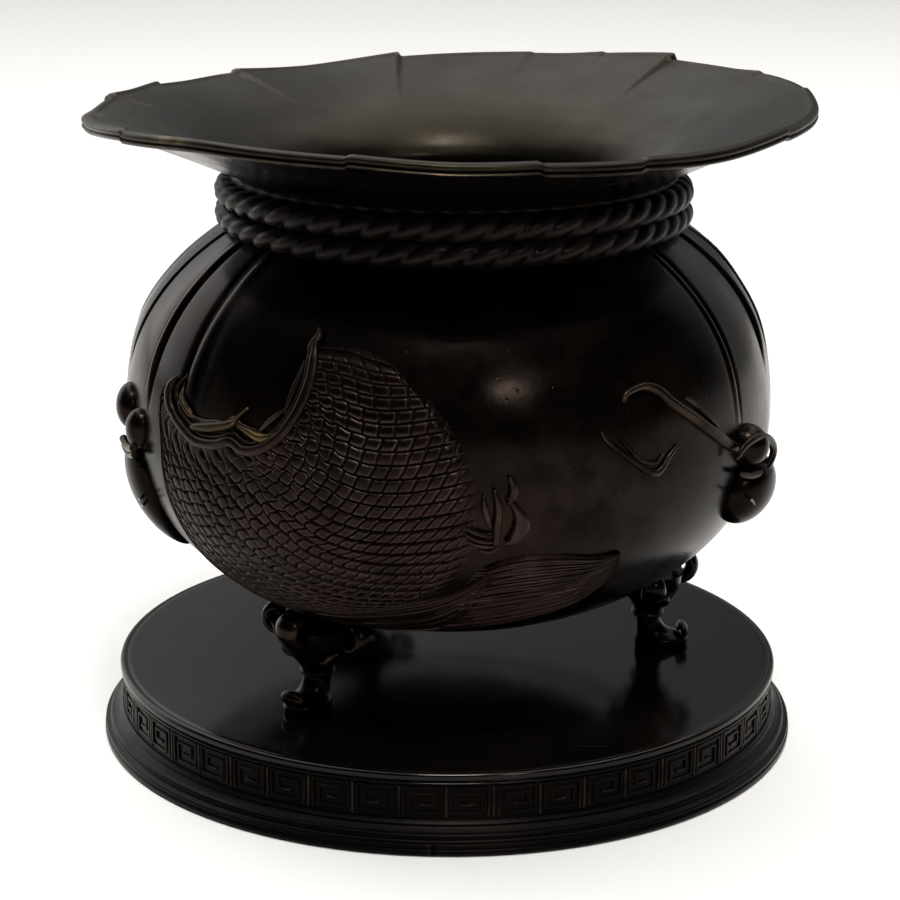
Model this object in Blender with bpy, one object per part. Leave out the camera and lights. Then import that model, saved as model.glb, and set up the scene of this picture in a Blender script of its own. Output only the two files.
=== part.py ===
# Bronze incense burner in the form of a tied treasure sack, on a round stand.
# Two castings: the burner, hollow inside and open at the top, and the stand it rests on.
# Metres, +Z up, front towards -Y, +X to the viewer's right, origin on the floor under the stand.

import math

import bmesh
import bpy
from mathutils import Vector
from mathutils.geometry import delaunay_2d_cdt

# The stand, heights from the floor
stand_height = 0.0246
stand_top_radius = 0.1094
stand_flange = 0.0056
stand_columns = 48
foot_lip_height = 0.0040
foot_lip_edge = 0.0010
foot_bead_height = 0.0024
foot_bead_step = 0.0018
top_bead_height = 0.0024
top_bead_edge = 0.0007
under_bead_height = 0.0014
band_inset = 0.0012
band_moulding = 0.0009
band_height = 0.0112
band_top_drop = 0.0040
stand_plate = 0.0050
stand_side_wall = 0.0074

# The key fret on the band
key_line = 0.0012
key_raise = 0.0009
key_sink = 0.0008
key_margin = 0.0006
key_side_gap = 0.0009

# The burner, heights from the soles of its feet
seat_gap = 0.0003
belly_radius = 0.1046
belly_height = 0.0860
belly_bottom = 0.0155
belly_power = 2.15
shoulder_rise = 0.0746
shoulder_power = 2.3
wall = 0.0036
neck_radius = 0.0720
neck_shift = 0.0014

# The rope, wound round the neck side by side
rope_diameter = 0.0076
rope_turns = 2
rope_sink = 0.0003
rope_foot_margin = 0.0002
rope_head_margin = 0.0028
rope_strands = 40
rope_groove = 0.0009
rope_slant = 3.0

# The sack's mouth, spread out as a shallow dish
rim_radius = 0.1168
mouth_rise = 0.0196
hem_thickness = 0.0026
rim_wall = 0.0034
dish_slope = 1.12
throat_round = 0.0070
throat_drop = 0.0090
hem_round = 0.0008

# Pleats in the mouth: azimuth, rise at the edge, width in degrees and the side it falls to
mouth_pleats = (
    (-168.0, 0.0018, 14.0, 1),
    (-142.0, 0.0010, 16.0, 1),
    (-118.0, 0.0012, 16.0, 1),
    (-74.0, 0.0018, 16.0, 1),
    (-14.0, 0.0010, 20.0, -1),
    (24.0, 0.0012, 20.0, 1),
    (58.0, 0.0014, 18.0, -1),
    (98.0, 0.0014, 20.0, 1),
    (122.0, 0.0016, 14.0, -1),
    (137.0, 0.0028, 26.0, 1),
)
# Broad swells and dips of the mouth's edge: azimuth, rise and half width in degrees
mouth_swells = (
    (-152.0, -0.0024, 34.0),
    (-118.0, -0.0012, 14.0),
    (-96.0, -0.0014, 12.0),
    (-30.0, 0.0013, 30.0),
    (44.0, -0.0014, 34.0),
    (142.0, 0.0012, 26.0),
    (114.0, 0.0006, 26.0),
    (172.0, -0.0007, 24.0),
)
mouth_wave = 0.0024
mouth_tilt = 0.0030
mouth_tilt_azimuth = 108.0

# Folds gathered under the rope: azimuth above and below, level reached, height and half width
folds = (
    (-74.0, -77.0, 0.16, 0.0020, 4.6),
    (-61.0, -60.0, -0.03, 0.0026, 4.6),
    (-47.0, -51.0, 0.08, 0.0016, 4.6),
    (52.0, 71.0, 0.13, 0.0028, 4.8),
    (56.0, 58.0, 0.18, 0.0018, 4.6),
    (88.0, 92.0, 0.05, 0.0018, 4.6),
    (104.0, 110.0, 0.16, 0.0018, 4.6),
    (126.0, 124.0, 0.03, 0.0024, 4.8),
    (147.0, 149.0, 0.10, 0.0020, 4.6),
    (170.0, 167.0, 0.00, 0.0022, 4.8),
    (-150.0, -153.0, 0.13, 0.0020, 4.6),
    (-128.0, -126.0, 0.05, 0.0024, 4.8),
    (-104.0, -108.0, 0.16, 0.0018, 4.6),
)

# The feet: azimuths and the ankle's place, with widths across and along the radius
foot_azimuths = (-37.5, 92.0, -152.0)
ankle_radius = 0.0670
ankle_height = 0.0110
ankle_half_depth = 0.0042
ankle_half_width = 0.0048
toe_out = 0.0145
toe_half_width = 0.0070
heel_back = 0.0040
sole_height = 0.0022
knee_height = 0.0190
knee_half_depth = 0.0088
knee_half_width = 0.0105
foot_top_half_depth = 0.0130
foot_top_half_width = 0.0165
foot_sides = 8
curl_thickness = 0.0028
curl_reach = 0.0190
curl_height = 0.0260
curl_rise = 0.0035
weld_sink = 0.0016

# The relief on the belly. A place is an azimuth and a level: -1 is the underside, 0 the widest
# ring and 1 the height at which the shoulder's curve would close.
cape_lift = 0.0022
cape_outline = (
    (-54.0, 0.20), (-56.5, -0.01), (-58.0, -0.30), (-57.0, -0.54), (-50.0, -0.67),
    (-36.0, -0.74), (-18.0, -0.76), (0.0, -0.73), (14.0, -0.62), (26.0, -0.47),
    (32.0, -0.34), (22.0, -0.28), (12.0, -0.24), (10.0, -0.09), (7.0, 0.05),
    (2.0, 0.21), (-4.0, 0.36), (-12.0, 0.49), (-20.0, 0.55),
)
cape_grid_turn = 14
cape_grid_rise = 0.18
collar_centre = (-38.5, 0.34)
collar_radius = 0.0235
collar_start = 20.0
collar_end = 215.0
collar_points = 10
collar_ribbon = 0.0024
collar_overlap = 0.0009
cord_radius = 0.0019
mallet_cord = (
    (29.5, 0.30), (31.0, 0.355), (35.0, 0.36), (40.0, 0.29), (46.0, 0.17),
    (53.0, 0.05), (60.0, -0.015), (66.0, -0.04),
)
purse_place = (68.5, -0.22)
purse_size = (0.0100, 0.0145, 0.0070)
purse_neck_place = (68.0, -0.015)
purse_neck_size = (0.0060, 0.0060, 0.0055)
bag_place = (-78.0, -0.27)
bag_size = (0.0105, 0.0200, 0.0044)
bag_frill_place = (-80.0, 0.03)
bag_frill_size = (0.0095, 0.0105, 0.0050)

# How finely the turned surfaces are cut
underside_rings = (0.20, 0.42, 0.62)
belly_ring_start = 0.80
belly_rows = 7
under_rows = 2
rope_section = (-50.0, 0.0, 50.0)
inner_rows = 5
inner_ring_end = 0.70
inner_last_ring = 0.34
columns = 2 * rope_strands
inner_columns = rope_strands

# Values that follow from the ones above
sole_plane = stand_height + seat_gap
stand_foot_radius = stand_top_radius + stand_flange
rope_radius = rope_diameter / 2
throat_radius = neck_radius - wall
band_bottom = stand_height - band_top_drop - band_height
band_top = stand_height - band_top_drop


def clear_scene():
    for thing in list(bpy.data.objects):
        bpy.data.objects.remove(thing, do_unlink=True)


def bronze(name, colour, roughness):
    material = bpy.data.materials.new(name)
    material.use_nodes = True
    shader = material.node_tree.nodes["Principled BSDF"]
    shader.inputs["Base Color"].default_value = (*colour, 1.0)
    shader.inputs["Metallic"].default_value = 0.85
    shader.inputs["Roughness"].default_value = roughness
    return material


def mesh_object(name, bm, material):
    bmesh.ops.recalc_face_normals(bm, faces=bm.faces)
    mesh = bpy.data.meshes.new(name)
    bm.to_mesh(mesh)
    bm.free()
    mesh.materials.append(material)
    mesh.shade_smooth()
    mesh.set_sharp_from_angle(angle=math.radians(38))
    thing = bpy.data.objects.new(name, mesh)
    bpy.context.scene.collection.objects.link(thing)
    return thing


def polar(radius, azimuth, height):
    angle = math.radians(azimuth)
    return Vector((radius * math.sin(angle), -radius * math.cos(angle), height))


def bridge(bm, below, above):
    """Faces between two closed rings; the lower ring may have twice as many points or half."""
    count, other = len(below), len(above)
    if other == 1:
        for k in range(count):
            bm.faces.new((below[k], below[(k + 1) % count], above[0]))
    elif count == 1:
        for k in range(other):
            bm.faces.new((above[(k + 1) % other], above[k], below[0]))
    elif count == other:
        for k in range(count):
            after = (k + 1) % count
            bm.faces.new((below[k], below[after], above[after], above[k]))
    else:
        fine, coarse = (below, above) if count > other else (above, below)
        for k in range(len(coarse)):
            after = (k + 1) % len(coarse)
            middle = 2 * k + 1
            last = (2 * k + 2) % len(fine)
            bm.faces.new((fine[2 * k], fine[middle], coarse[k]))
            bm.faces.new((fine[middle], coarse[after], coarse[k]))
            bm.faces.new((fine[middle], fine[last], coarse[after]))


def smooth(x):
    x = min(max(x, 0.0), 1.0)
    return x * x * (3 - 2 * x)


def angle_between(a, b):
    return (a - b + 180.0) % 360.0 - 180.0


# The sack's own shape

def sack_radius(height, inset=0.0):
    """Radius of the sack's turned form at a height over the soles, or of a skin inset from it."""
    full = belly_radius - inset
    if height < belly_height:
        share = (belly_height - height) / (belly_height - belly_bottom - inset)
        power = belly_power
    else:
        share = (height - belly_height) / (shoulder_rise - inset)
        power = shoulder_power
    return full * max(1.0 - min(share, 1.0) ** power, 0.0) ** (1.0 / power)


def underside_height(radius, inset=0.0):
    share = min(radius / (belly_radius - inset), 1.0)
    reach = belly_height - belly_bottom - inset
    return belly_height - reach * (1.0 - share ** belly_power) ** (1.0 / belly_power)


def shoulder_height(radius, inset=0.0):
    share = radius / (belly_radius - inset)
    reach = shoulder_rise - inset
    return belly_height + reach * (1.0 - share ** shoulder_power) ** (1.0 / shoulder_power)


def belly_level(level):
    """The height over the soles of a level on the belly."""
    reach = shoulder_rise if level > 0 else belly_height - belly_bottom
    return belly_height + level * reach


neck_bottom = shoulder_height(neck_radius)
rope_start = neck_bottom + rope_foot_margin
neck_top = rope_start + rope_diameter * rope_turns + rope_head_margin
rim_height = neck_top + mouth_rise


def axis_shift(height):
    return Vector((neck_shift * smooth((height - belly_height) / (neck_bottom - belly_height)), 0, 0))


def fold_lift(azimuth, height):
    """The gathered folds: ridges that start at the neck and die away down the belly."""
    lift = 0.0
    for top_azimuth, low_azimuth, reach, rise, half_width in folds:
        share = (neck_bottom - height) / (neck_bottom - belly_level(reach))
        if 0.0 <= share < 1.0:
            middle = top_azimuth + (low_azimuth - top_azimuth) * share
            across = abs(angle_between(azimuth, middle)) / half_width
            lift = max(lift, rise * smooth(1.0 - across) * smooth(2.2 * (1.0 - share)))
    return lift


def surface_point(azimuth, height, lift):
    """A point over the belly's skin, in the room's frame."""
    step = 0.0005
    slope = (sack_radius(height + step) - sack_radius(height - step)) / (2 * step)
    size = math.hypot(1.0, slope)
    radius = sack_radius(height) + fold_lift(azimuth, height) + lift / size
    point = polar(radius, azimuth, height - lift * slope / size)
    return point + axis_shift(height) + Vector((0, 0, sole_plane))


def surface_offset(place, along, up):
    """The azimuth and height a few millimetres along and up the skin from a place."""
    azimuth, height = place[0], belly_level(place[1])
    slope = (sack_radius(height + 0.0005) - sack_radius(height - 0.0005)) / 0.001
    return azimuth + math.degrees(along / sack_radius(height)), height + up / math.hypot(1.0, slope)


# The mouth

def pleat_lift(azimuth):
    """Each pleat climbs gently on one side and drops sharply on the other."""
    lift = mouth_tilt * math.cos(math.radians(angle_between(azimuth, mouth_tilt_azimuth)))
    for middle, rise, width, side in mouth_pleats:
        along = angle_between(azimuth, middle) * side
        if 0.0 <= along < width:
            lift += rise * (1.0 - along / width) ** 1.6
    for middle, rise, half_width in mouth_swells:
        lift += rise * smooth(1.0 - abs(angle_between(azimuth, middle)) / half_width)
    return lift


def mouth_share(radius):
    return max((radius - neck_radius) / (rim_radius - neck_radius), 0.0)


def mouth_point(radius, azimuth, height):
    share = mouth_share(radius)
    reach = radius - mouth_wave * share * math.sin(math.radians(2 * azimuth)) ** 2
    lift = pleat_lift(azimuth) * share ** 1.7
    middle = axis_shift(height) * (1.0 - share)
    return polar(reach, azimuth, height + lift) + middle + Vector((0, 0, sole_plane))


def under_mouth_height(radius):
    """Underside of the dish: it springs from the neck and levels off to the hem."""
    share = mouth_share(radius)
    edge = rim_height - hem_thickness
    return neck_top + (edge - neck_top) * (dish_slope * share + (1 - dish_slope) * share ** 4)


def dish_height(radius):
    return under_mouth_height(radius) + rim_wall + (hem_thickness - rim_wall) * mouth_share(radius) ** 2


# Rings of the burner, from the bottom outside, up, over the rim and down inside

def round_ring(bm, count, radius, height):
    ring = []
    for k in range(count):
        point = polar(radius, 360.0 * k / count, height) + axis_shift(height)
        ring.append(bm.verts.new(point + Vector((0, 0, sole_plane))))
    return ring


def belly_ring(bm, height):
    ring = []
    for k in range(columns):
        ring.append(bm.verts.new(surface_point(360.0 * k / columns, height, 0.0)))
    return ring


def rope_ring(bm, middle, section):
    """One row of points along a turn of rope, its strands slanting up to the right."""
    angle = math.radians(section)
    ring = []
    for k in range(columns):
        groove = rope_groove if k % 2 else 0.0
        radius = neck_radius + rope_sink + (rope_radius - groove) * math.cos(angle)
        height = middle + (rope_radius - groove) * math.sin(angle)
        azimuth = 360.0 * k / columns + rope_slant * math.sin(angle)
        ring.append(bm.verts.new(polar(radius, azimuth, height) + axis_shift(height) + Vector((0, 0, sole_plane))))
    return ring


def mouth_ring(bm, radius, height):
    return [bm.verts.new(mouth_point(radius, 360.0 * k / columns, height)) for k in range(columns)]


def burner_rings(bm):
    rings = [[bm.verts.new(Vector((0, 0, sole_plane + belly_bottom)))]]
    for share in underside_rings:
        radius = belly_radius * share
        count = inner_columns // 2 if share == underside_rings[0] else inner_columns
        rings.append(round_ring(bm, count, radius, underside_height(radius)))
    low = underside_height(belly_radius * belly_ring_start)
    for row in range(belly_rows + 1):
        share = row / belly_rows
        eased = share + 0.05 * math.sin(2 * math.pi * share)
        rings.append(belly_ring(bm, low + (neck_bottom - low) * eased))
    for turn in range(rope_turns):
        middle = rope_start + rope_radius * (2 * turn + 1)
        for section in rope_section:
            rings.append(rope_ring(bm, middle, section))
    rings.append(mouth_ring(bm, neck_radius, neck_top))
    for row in range(1, under_rows):
        radius = neck_radius + (rim_radius - neck_radius) * row / under_rows
        rings.append(mouth_ring(bm, radius, under_mouth_height(radius)))
    hem_bottom = rim_height - hem_thickness
    rings.append(mouth_ring(bm, rim_radius - hem_round, hem_bottom))
    rings.append(mouth_ring(bm, rim_radius, rim_height - hem_round))
    rings.append(mouth_ring(bm, rim_radius - hem_thickness / 2, rim_height))
    radius = neck_radius + (rim_radius - neck_radius) * (under_rows - 1) / under_rows
    rings.append(mouth_ring(bm, radius, dish_height(radius)))
    lip_radius = throat_radius + throat_round
    rings.append(mouth_ring(bm, lip_radius, dish_height(lip_radius)))
    for turn in (math.pi / 4, math.pi / 2):
        radius = lip_radius - throat_round * math.sin(turn)
        height = dish_height(lip_radius) - throat_drop * (1.0 - math.cos(turn))
        rings.append(round_ring(bm, inner_columns, radius, height))
    inner_neck = shoulder_height(throat_radius, wall)
    inner_low = underside_height((belly_radius - wall) * inner_ring_end, wall)
    for row in range(inner_rows + 1):
        share = row / inner_rows
        height = inner_neck + (inner_low - inner_neck) * share
        rings.append(round_ring(bm, inner_columns, sack_radius(height, wall), height))
    radius = belly_radius * inner_last_ring
    rings.append(round_ring(bm, inner_columns // 2, radius, underside_height(radius, wall)))
    rings.append([bm.verts.new(Vector((0, 0, sole_plane + belly_bottom + wall)))])
    return rings


def burner_body(material):
    bm = bmesh.new()
    rings = burner_rings(bm)
    for below, above in zip(rings, rings[1:]):
        bridge(bm, below, above)
    return mesh_object("sack_burner", bm, material)


# Pieces of relief, each sunk a little into the skin and then welded on

def loft(bm, rings):
    for below, above in zip(rings, rings[1:]):
        bridge(bm, below, above)
    bm.faces.new(list(reversed(rings[0])))
    bm.faces.new(rings[-1])


def swell(name, place, size, material, rows=5, sides=10):
    """A rounded swelling that lies on the skin: half width, half height and lift."""
    bm = bmesh.new()
    rings = []
    for row in range(rows + 1):
        fall = math.pi * row / rows
        lift = size[2] * math.cos(fall)
        if row in (0, rows):
            turns = 1
        else:
            turns = sides
        ring = []
        for k in range(turns):
            turn = 2 * math.pi * k / sides
            along = size[0] * math.sin(fall) * math.cos(turn)
            up = size[1] * math.sin(fall) * math.sin(turn)
            azimuth, height = surface_offset(place, along, up)
            ring.append(bm.verts.new(surface_point(azimuth, height, max(lift, -weld_sink))))
        rings.append(ring)
    for below, above in zip(rings, rings[1:]):
        bridge(bm, below, above)
    return mesh_object(name, bm, material)


def sprung_curve(points, count):
    """Points spaced evenly in parameter along a smooth curve through the given ones."""
    result = []
    last = len(points) - 1
    for step in range(count):
        at = last * step / (count - 1)
        base = min(int(at), last - 1)
        t = at - base
        around = [points[min(max(base + k, 0), last)] for k in (-1, 0, 1, 2)]
        spot = []
        for a, b, c, d in zip(*around):
            spot.append(0.5 * (2 * b + (c - a) * t + (2 * a - 5 * b + 4 * c - d) * t ** 2
                               + (3 * b - a - 3 * c + d) * t ** 3))
        result.append(tuple(spot))
    return result


def skin_cord(name, route, radius, material, count=11, sides=6):
    """A cord lying along the skin, half sunk."""
    bm = bmesh.new()
    spots = [(azimuth, belly_level(level)) for azimuth, level in sprung_curve(route, count)]
    middles = [surface_point(azimuth, height, radius * 0.35) for azimuth, height in spots]
    rings = []
    for k, (azimuth, height) in enumerate(spots):
        before = middles[max(k - 1, 0)]
        after = middles[min(k + 1, count - 1)]
        run = (after - before).normalized()
        out = (surface_point(azimuth, height, 0.002) - surface_point(azimuth, height, 0.0)).normalized()
        side = run.cross(out).normalized()
        out = side.cross(run)
        taper = 0.6 if k in (0, count - 1) else 1.0
        ring = []
        for s in range(sides):
            turn = 2 * math.pi * s / sides
            ring.append(bm.verts.new(middles[k] + radius * taper * (side * math.cos(turn) + out * math.sin(turn))))
        rings.append(ring)
    loft(bm, rings)
    return mesh_object(name, bm, material)


def level_of(height):
    reach = shoulder_rise if height > belly_height else belly_height - belly_bottom
    return (height - belly_height) / reach


def collar_spot(share, radius):
    """A place on the edge of the cape's round neck opening, or beside it."""
    turn = math.radians(collar_start + (collar_end - collar_start) * share)
    along, up = -radius * math.cos(turn), -radius * math.sin(turn)
    azimuth, height = surface_offset(collar_centre, along, up)
    return azimuth, level_of(height)


def cape_shape():
    """Outline of the straw cape, with the round neck opening cut into its upper left."""
    outline = list(cape_outline)
    for k in range(collar_points):
        outline.append(collar_spot(1.0 - k / (collar_points - 1), collar_radius))
    return outline


def straw_cape(material):
    """The cape as a thin shell over the skin, with points inside it so that it follows the curve."""
    flat = bmesh.new()
    level_scale = 100.0
    outline = [Vector((azimuth, level * level_scale)) for azimuth, level in cape_shape()]
    inside = 1
    spots, edges, faces, *rest = delaunay_2d_cdt(outline, [], [list(range(len(outline)))], inside, 0.0001)
    corners = [flat.verts.new((spot.x, spot.y, 0.0)) for spot in spots]
    for face in faces:
        flat.faces.new([corners[k] for k in face])
    lowest = min(level for azimuth, level in cape_outline)
    highest = max(level for azimuth, level in cape_outline)
    first = min(azimuth for azimuth, level in cape_outline)
    last = max(azimuth for azimuth, level in cape_outline)
    for k in range(1, int((last - first) / cape_grid_turn) + 1):
        cut(flat, (first + cape_grid_turn * k, 0, 0), (1, 0, 0))
    for k in range(1, int((highest - lowest) / cape_grid_rise) + 1):
        cut(flat, (0, (lowest + cape_grid_rise * k) * level_scale, 0), (0, 1, 0))
    bm = bmesh.new()
    tops, bottoms = {}, {}
    for vert in flat.verts:
        height = belly_level(vert.co.y / level_scale)
        tops[vert] = bm.verts.new(surface_point(vert.co.x, height, cape_lift))
        bottoms[vert] = bm.verts.new(surface_point(vert.co.x, height, -weld_sink))
    for face in flat.faces:
        bm.faces.new([tops[v] for v in face.verts])
        bm.faces.new([bottoms[v] for v in reversed(face.verts)])
    for edge in flat.edges:
        if edge.is_boundary:
            a, b = edge.verts
            bm.faces.new((tops[a], tops[b], bottoms[b], bottoms[a]))
    flat.free()
    return mesh_object("cape_form", bm, material)


def cut(bm, spot, normal):
    geometry = list(bm.verts) + list(bm.edges) + list(bm.faces)
    bmesh.ops.bisect_plane(bm, geom=geometry, plane_co=spot, plane_no=normal, dist=0.00001)


def foot_frame(azimuth):
    outward = polar(1.0, azimuth, 0.0)
    sideways = Vector((0, 0, 1)).cross(outward)
    return outward, sideways


def foot_ring(bm, azimuth, middle, half_depth, half_width, height):
    outward, sideways = foot_frame(azimuth)
    ring = []
    for k in range(foot_sides):
        turn = 2 * math.pi * k / foot_sides
        flat = outward * (middle + half_depth * math.cos(turn)) + sideways * half_width * math.sin(turn)
        rise = height
        if height is None:
            rise = underside_height(flat.length) + weld_sink
        ring.append(bm.verts.new(flat + Vector((0, 0, sole_plane + rise))))
    return ring


def foot(azimuth, material):
    """A cabriole foot: wide under the belly, narrow at the ankle, with a toe that reaches out."""
    bm = bmesh.new()
    toe_middle = ankle_radius + (toe_out - heel_back) / 2
    toe_half = (toe_out + heel_back) / 2
    rings = [
        foot_ring(bm, azimuth, toe_middle, toe_half * 0.92, toe_half_width * 0.9, 0.0),
        foot_ring(bm, azimuth, toe_middle, toe_half, toe_half_width, sole_height),
        foot_ring(bm, azimuth, ankle_radius + 0.0015, ankle_half_depth * 1.25, ankle_half_width * 1.15,
                  ankle_height * 0.6),
        foot_ring(bm, azimuth, ankle_radius, ankle_half_depth, ankle_half_width, ankle_height),
        foot_ring(bm, azimuth, ankle_radius, knee_half_depth, knee_half_width, knee_height),
        foot_ring(bm, azimuth, ankle_radius, foot_top_half_depth, foot_top_half_width, None),
    ]
    for below, above in zip(rings, rings[1:]):
        bridge(bm, below, above)
    bm.faces.new(list(reversed(rings[0])))
    top = polar(ankle_radius, azimuth, sole_plane + underside_height(ankle_radius) + weld_sink)
    bridge(bm, rings[-1], [bm.verts.new(top)])
    return mesh_object("foot_form", bm, material)


def foot_curl(azimuth, direction, material, sides=5, steps=4):
    """A curled leaf that springs from under the knee: outward, or to one side of the foot."""
    bm = bmesh.new()
    outward, sideways = foot_frame(azimuth)
    run = outward if direction == 0 else sideways * direction
    across = sideways if direction == 0 else outward
    base = outward * ankle_radius + Vector((0, 0, sole_plane))
    rings = []
    for k in range(steps):
        share = k / (steps - 1)
        reach = curl_reach * (0.25 + 0.75 * math.sin(share * math.pi * 0.62) / math.sin(math.pi * 0.62))
        height = curl_height - 0.0030 * math.sin(share * math.pi) + curl_rise * share ** 2
        thick = curl_thickness * (1.25 - 0.55 * share)
        wide = curl_thickness * (2.6 - 1.3 * share)
        middle = base + run * reach + Vector((0, 0, height))
        lean = math.radians(10 + 75 * share)
        up = Vector((0, 0, 1)) * math.cos(lean) - run * math.sin(lean)
        ring = []
        for s in range(sides):
            turn = 2 * math.pi * s / sides
            ring.append(bm.verts.new(middle + across * wide * math.cos(turn) + up * thick * math.sin(turn)))
        rings.append(ring)
    loft(bm, rings)
    return mesh_object("foot_curl_form", bm, material)


def weld(body, form):
    """Unites a form with the casting and hides the form itself."""
    form.hide_render = True
    form.display_type = "WIRE"
    union = body.modifiers.new("weld " + form.name, "BOOLEAN")
    union.operation = "UNION"
    union.solver = "EXACT"
    union.object = form


def burner():
    material = bronze("burner_bronze", (0.030, 0.022, 0.018), 0.28)
    body = burner_body(material)
    for azimuth in foot_azimuths:
        weld(body, foot(azimuth, material))
        for direction in (-1, 0, 1):
            weld(body, foot_curl(azimuth, direction, material))
    weld(body, straw_cape(material))
    collar = [collar_spot(k / 8, collar_radius + collar_overlap) for k in range(9)]
    weld(body, skin_cord("collar_form", collar, collar_ribbon, material))
    weld(body, skin_cord("mallet_cord_form", mallet_cord, cord_radius, material))
    weld(body, swell("purse_form", purse_place, purse_size, material))
    weld(body, swell("purse_neck_form", purse_neck_place, purse_neck_size, material, rows=4, sides=8))
    weld(body, swell("bag_form", bag_place, bag_size, material))
    weld(body, swell("bag_frill_form", bag_frill_place, bag_frill_size, material, rows=4, sides=8))
    return body


# The stand

def stand_profile():
    """Radius and height of the stand's rings, from the ring it stands on, up and over the top."""
    band_radius = stand_top_radius - band_inset
    bead_top = foot_lip_height + foot_bead_height
    recess_radius = stand_top_radius - stand_side_wall
    return [
        (recess_radius, 0.0),
        (stand_foot_radius - foot_lip_edge, 0.0),
        (stand_foot_radius, foot_lip_edge),
        (stand_foot_radius, foot_lip_height - foot_lip_edge),
        (stand_foot_radius - foot_bead_step, foot_lip_height),
        (stand_foot_radius - foot_bead_step, bead_top),
        (band_radius + band_moulding, band_bottom - 0.0006),
        (band_radius, band_bottom),
        (band_radius, band_top),
        (band_radius + band_moulding, band_top + under_bead_height / 2),
        (stand_top_radius, stand_height - top_bead_height),
        (stand_top_radius, stand_height - top_bead_edge),
        (stand_top_radius - top_bead_edge, stand_height),
    ]


def ribbon_outline(path, half):
    """Both sides of a square-cornered line of even width, as one closed outline."""
    left, right = [], []
    for k, (x, y) in enumerate(path):
        runs = []
        if k > 0:
            runs.append((x - path[k - 1][0], y - path[k - 1][1]))
        if k < len(path) - 1:
            runs.append((path[k + 1][0] - x, path[k + 1][1] - y))
        across_x, across_y = 0.0, 0.0
        for run_x, run_y in runs:
            length = math.hypot(run_x, run_y)
            across_x -= run_y / length
            across_y += run_x / length
        left.append((x + half * across_x, y + half * across_y))
        right.append((x - half * across_x, y - half * across_y))
    return left + list(reversed(right))


def key_path(width, height):
    """A squared spiral that winds in from the lower left corner."""
    x, y = width / 2, height / 2
    inner_x, inner_y = x - 2.1 * key_line, y - 2.1 * key_line
    return [(-x, -y), (-x, y), (x, y), (x, -y), (-inner_x, -y), (-inner_x, inner_y)]


def key_fret(material):
    """The band of squared spirals, one to a facet of the stand, every other one turned over."""
    bm = bmesh.new()
    band_radius = stand_top_radius - band_inset
    step = 360.0 / stand_columns
    facet = band_radius * math.cos(math.radians(step / 2))
    width = 2 * band_radius * math.sin(math.radians(step / 2)) - 2 * key_side_gap - key_line
    height = band_height - 2 * key_margin - key_line
    for unit in range(stand_columns):
        outward = polar(1.0, step * (unit + 0.5), 0.0)
        sideways = Vector((0, 0, 1)).cross(outward)
        flip = 1 if unit % 2 else -1
        middle = Vector((0, 0, (band_bottom + band_top) / 2))
        outline = ribbon_outline(key_path(width, height), key_line / 2)
        rings = []
        for depth in (facet - key_sink, facet + key_raise):
            ring = []
            for x, y in outline:
                ring.append(bm.verts.new(middle + outward * depth + sideways * x * flip + Vector((0, 0, y))))
            rings.append(ring)
        loft(bm, rings)
    return mesh_object("key_form", bm, material)


def stand():
    material = bronze("stand_bronze", (0.026, 0.020, 0.017), 0.20)
    bm = bmesh.new()
    profile = stand_profile()
    rings = []
    for radius, height in profile:
        rings.append([bm.verts.new(polar(radius, 360.0 * k / stand_columns, height)) for k in range(stand_columns)])
    rings.append([bm.verts.new((0, 0, stand_height))])
    ceiling = [bm.verts.new((0, 0, stand_height - stand_plate))]
    recess = []
    for k in range(stand_columns):
        recess.append(bm.verts.new(polar(profile[0][0], 360.0 * k / stand_columns, stand_height - stand_plate)))
    rings = [ceiling, recess] + rings
    for below, above in zip(rings, rings[1:]):
        bridge(bm, below, above)
    body = mesh_object("round_stand", bm, material)
    weld(body, key_fret(material))
    return body


clear_scene()
stand()
burner()
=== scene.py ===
# %% [markdown]
# # A bronze incense burner shaped like a tied treasure sack
# The real object is two castings in dark patinated bronze. One is a sack whose mouth is spread out
# like a dish over a twice wound rope, with a straw cape and small lucky things in low relief. It
# stands on three scrolled feet. The other casting is a round stand with a key fret on its edge.
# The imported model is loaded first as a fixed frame, and every piece made below takes the place of
# one of its two solids.

# %% Load the frame
import math

import bmesh
import bpy
import numpy as np
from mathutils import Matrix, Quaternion, Vector


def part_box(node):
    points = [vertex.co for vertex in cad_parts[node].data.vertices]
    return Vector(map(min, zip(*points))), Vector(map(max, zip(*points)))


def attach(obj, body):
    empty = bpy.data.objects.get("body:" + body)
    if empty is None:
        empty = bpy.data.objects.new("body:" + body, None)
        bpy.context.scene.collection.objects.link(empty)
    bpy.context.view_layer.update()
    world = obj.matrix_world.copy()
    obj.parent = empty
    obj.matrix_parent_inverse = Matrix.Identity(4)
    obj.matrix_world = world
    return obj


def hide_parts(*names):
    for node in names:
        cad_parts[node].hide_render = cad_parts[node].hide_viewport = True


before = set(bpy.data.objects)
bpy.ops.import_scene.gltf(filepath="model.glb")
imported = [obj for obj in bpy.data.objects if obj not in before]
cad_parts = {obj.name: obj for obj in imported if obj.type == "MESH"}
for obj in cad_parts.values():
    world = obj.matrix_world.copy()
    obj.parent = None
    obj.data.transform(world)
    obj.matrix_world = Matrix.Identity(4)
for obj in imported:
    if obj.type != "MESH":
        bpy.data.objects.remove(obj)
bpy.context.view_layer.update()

# %% [markdown]
# ## The sizes of the sack
# A sack tied at the neck is a turned form before any fold is added: two superellipses, one below
# the widest ring and one above it. One function for its radius lets every relief lie on the skin.
# Heights are over the soles of the feet, and azimuths are degrees from the front to the right.
# The stand's height and foot come from the frame, and the soles are a hair above its top.

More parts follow.
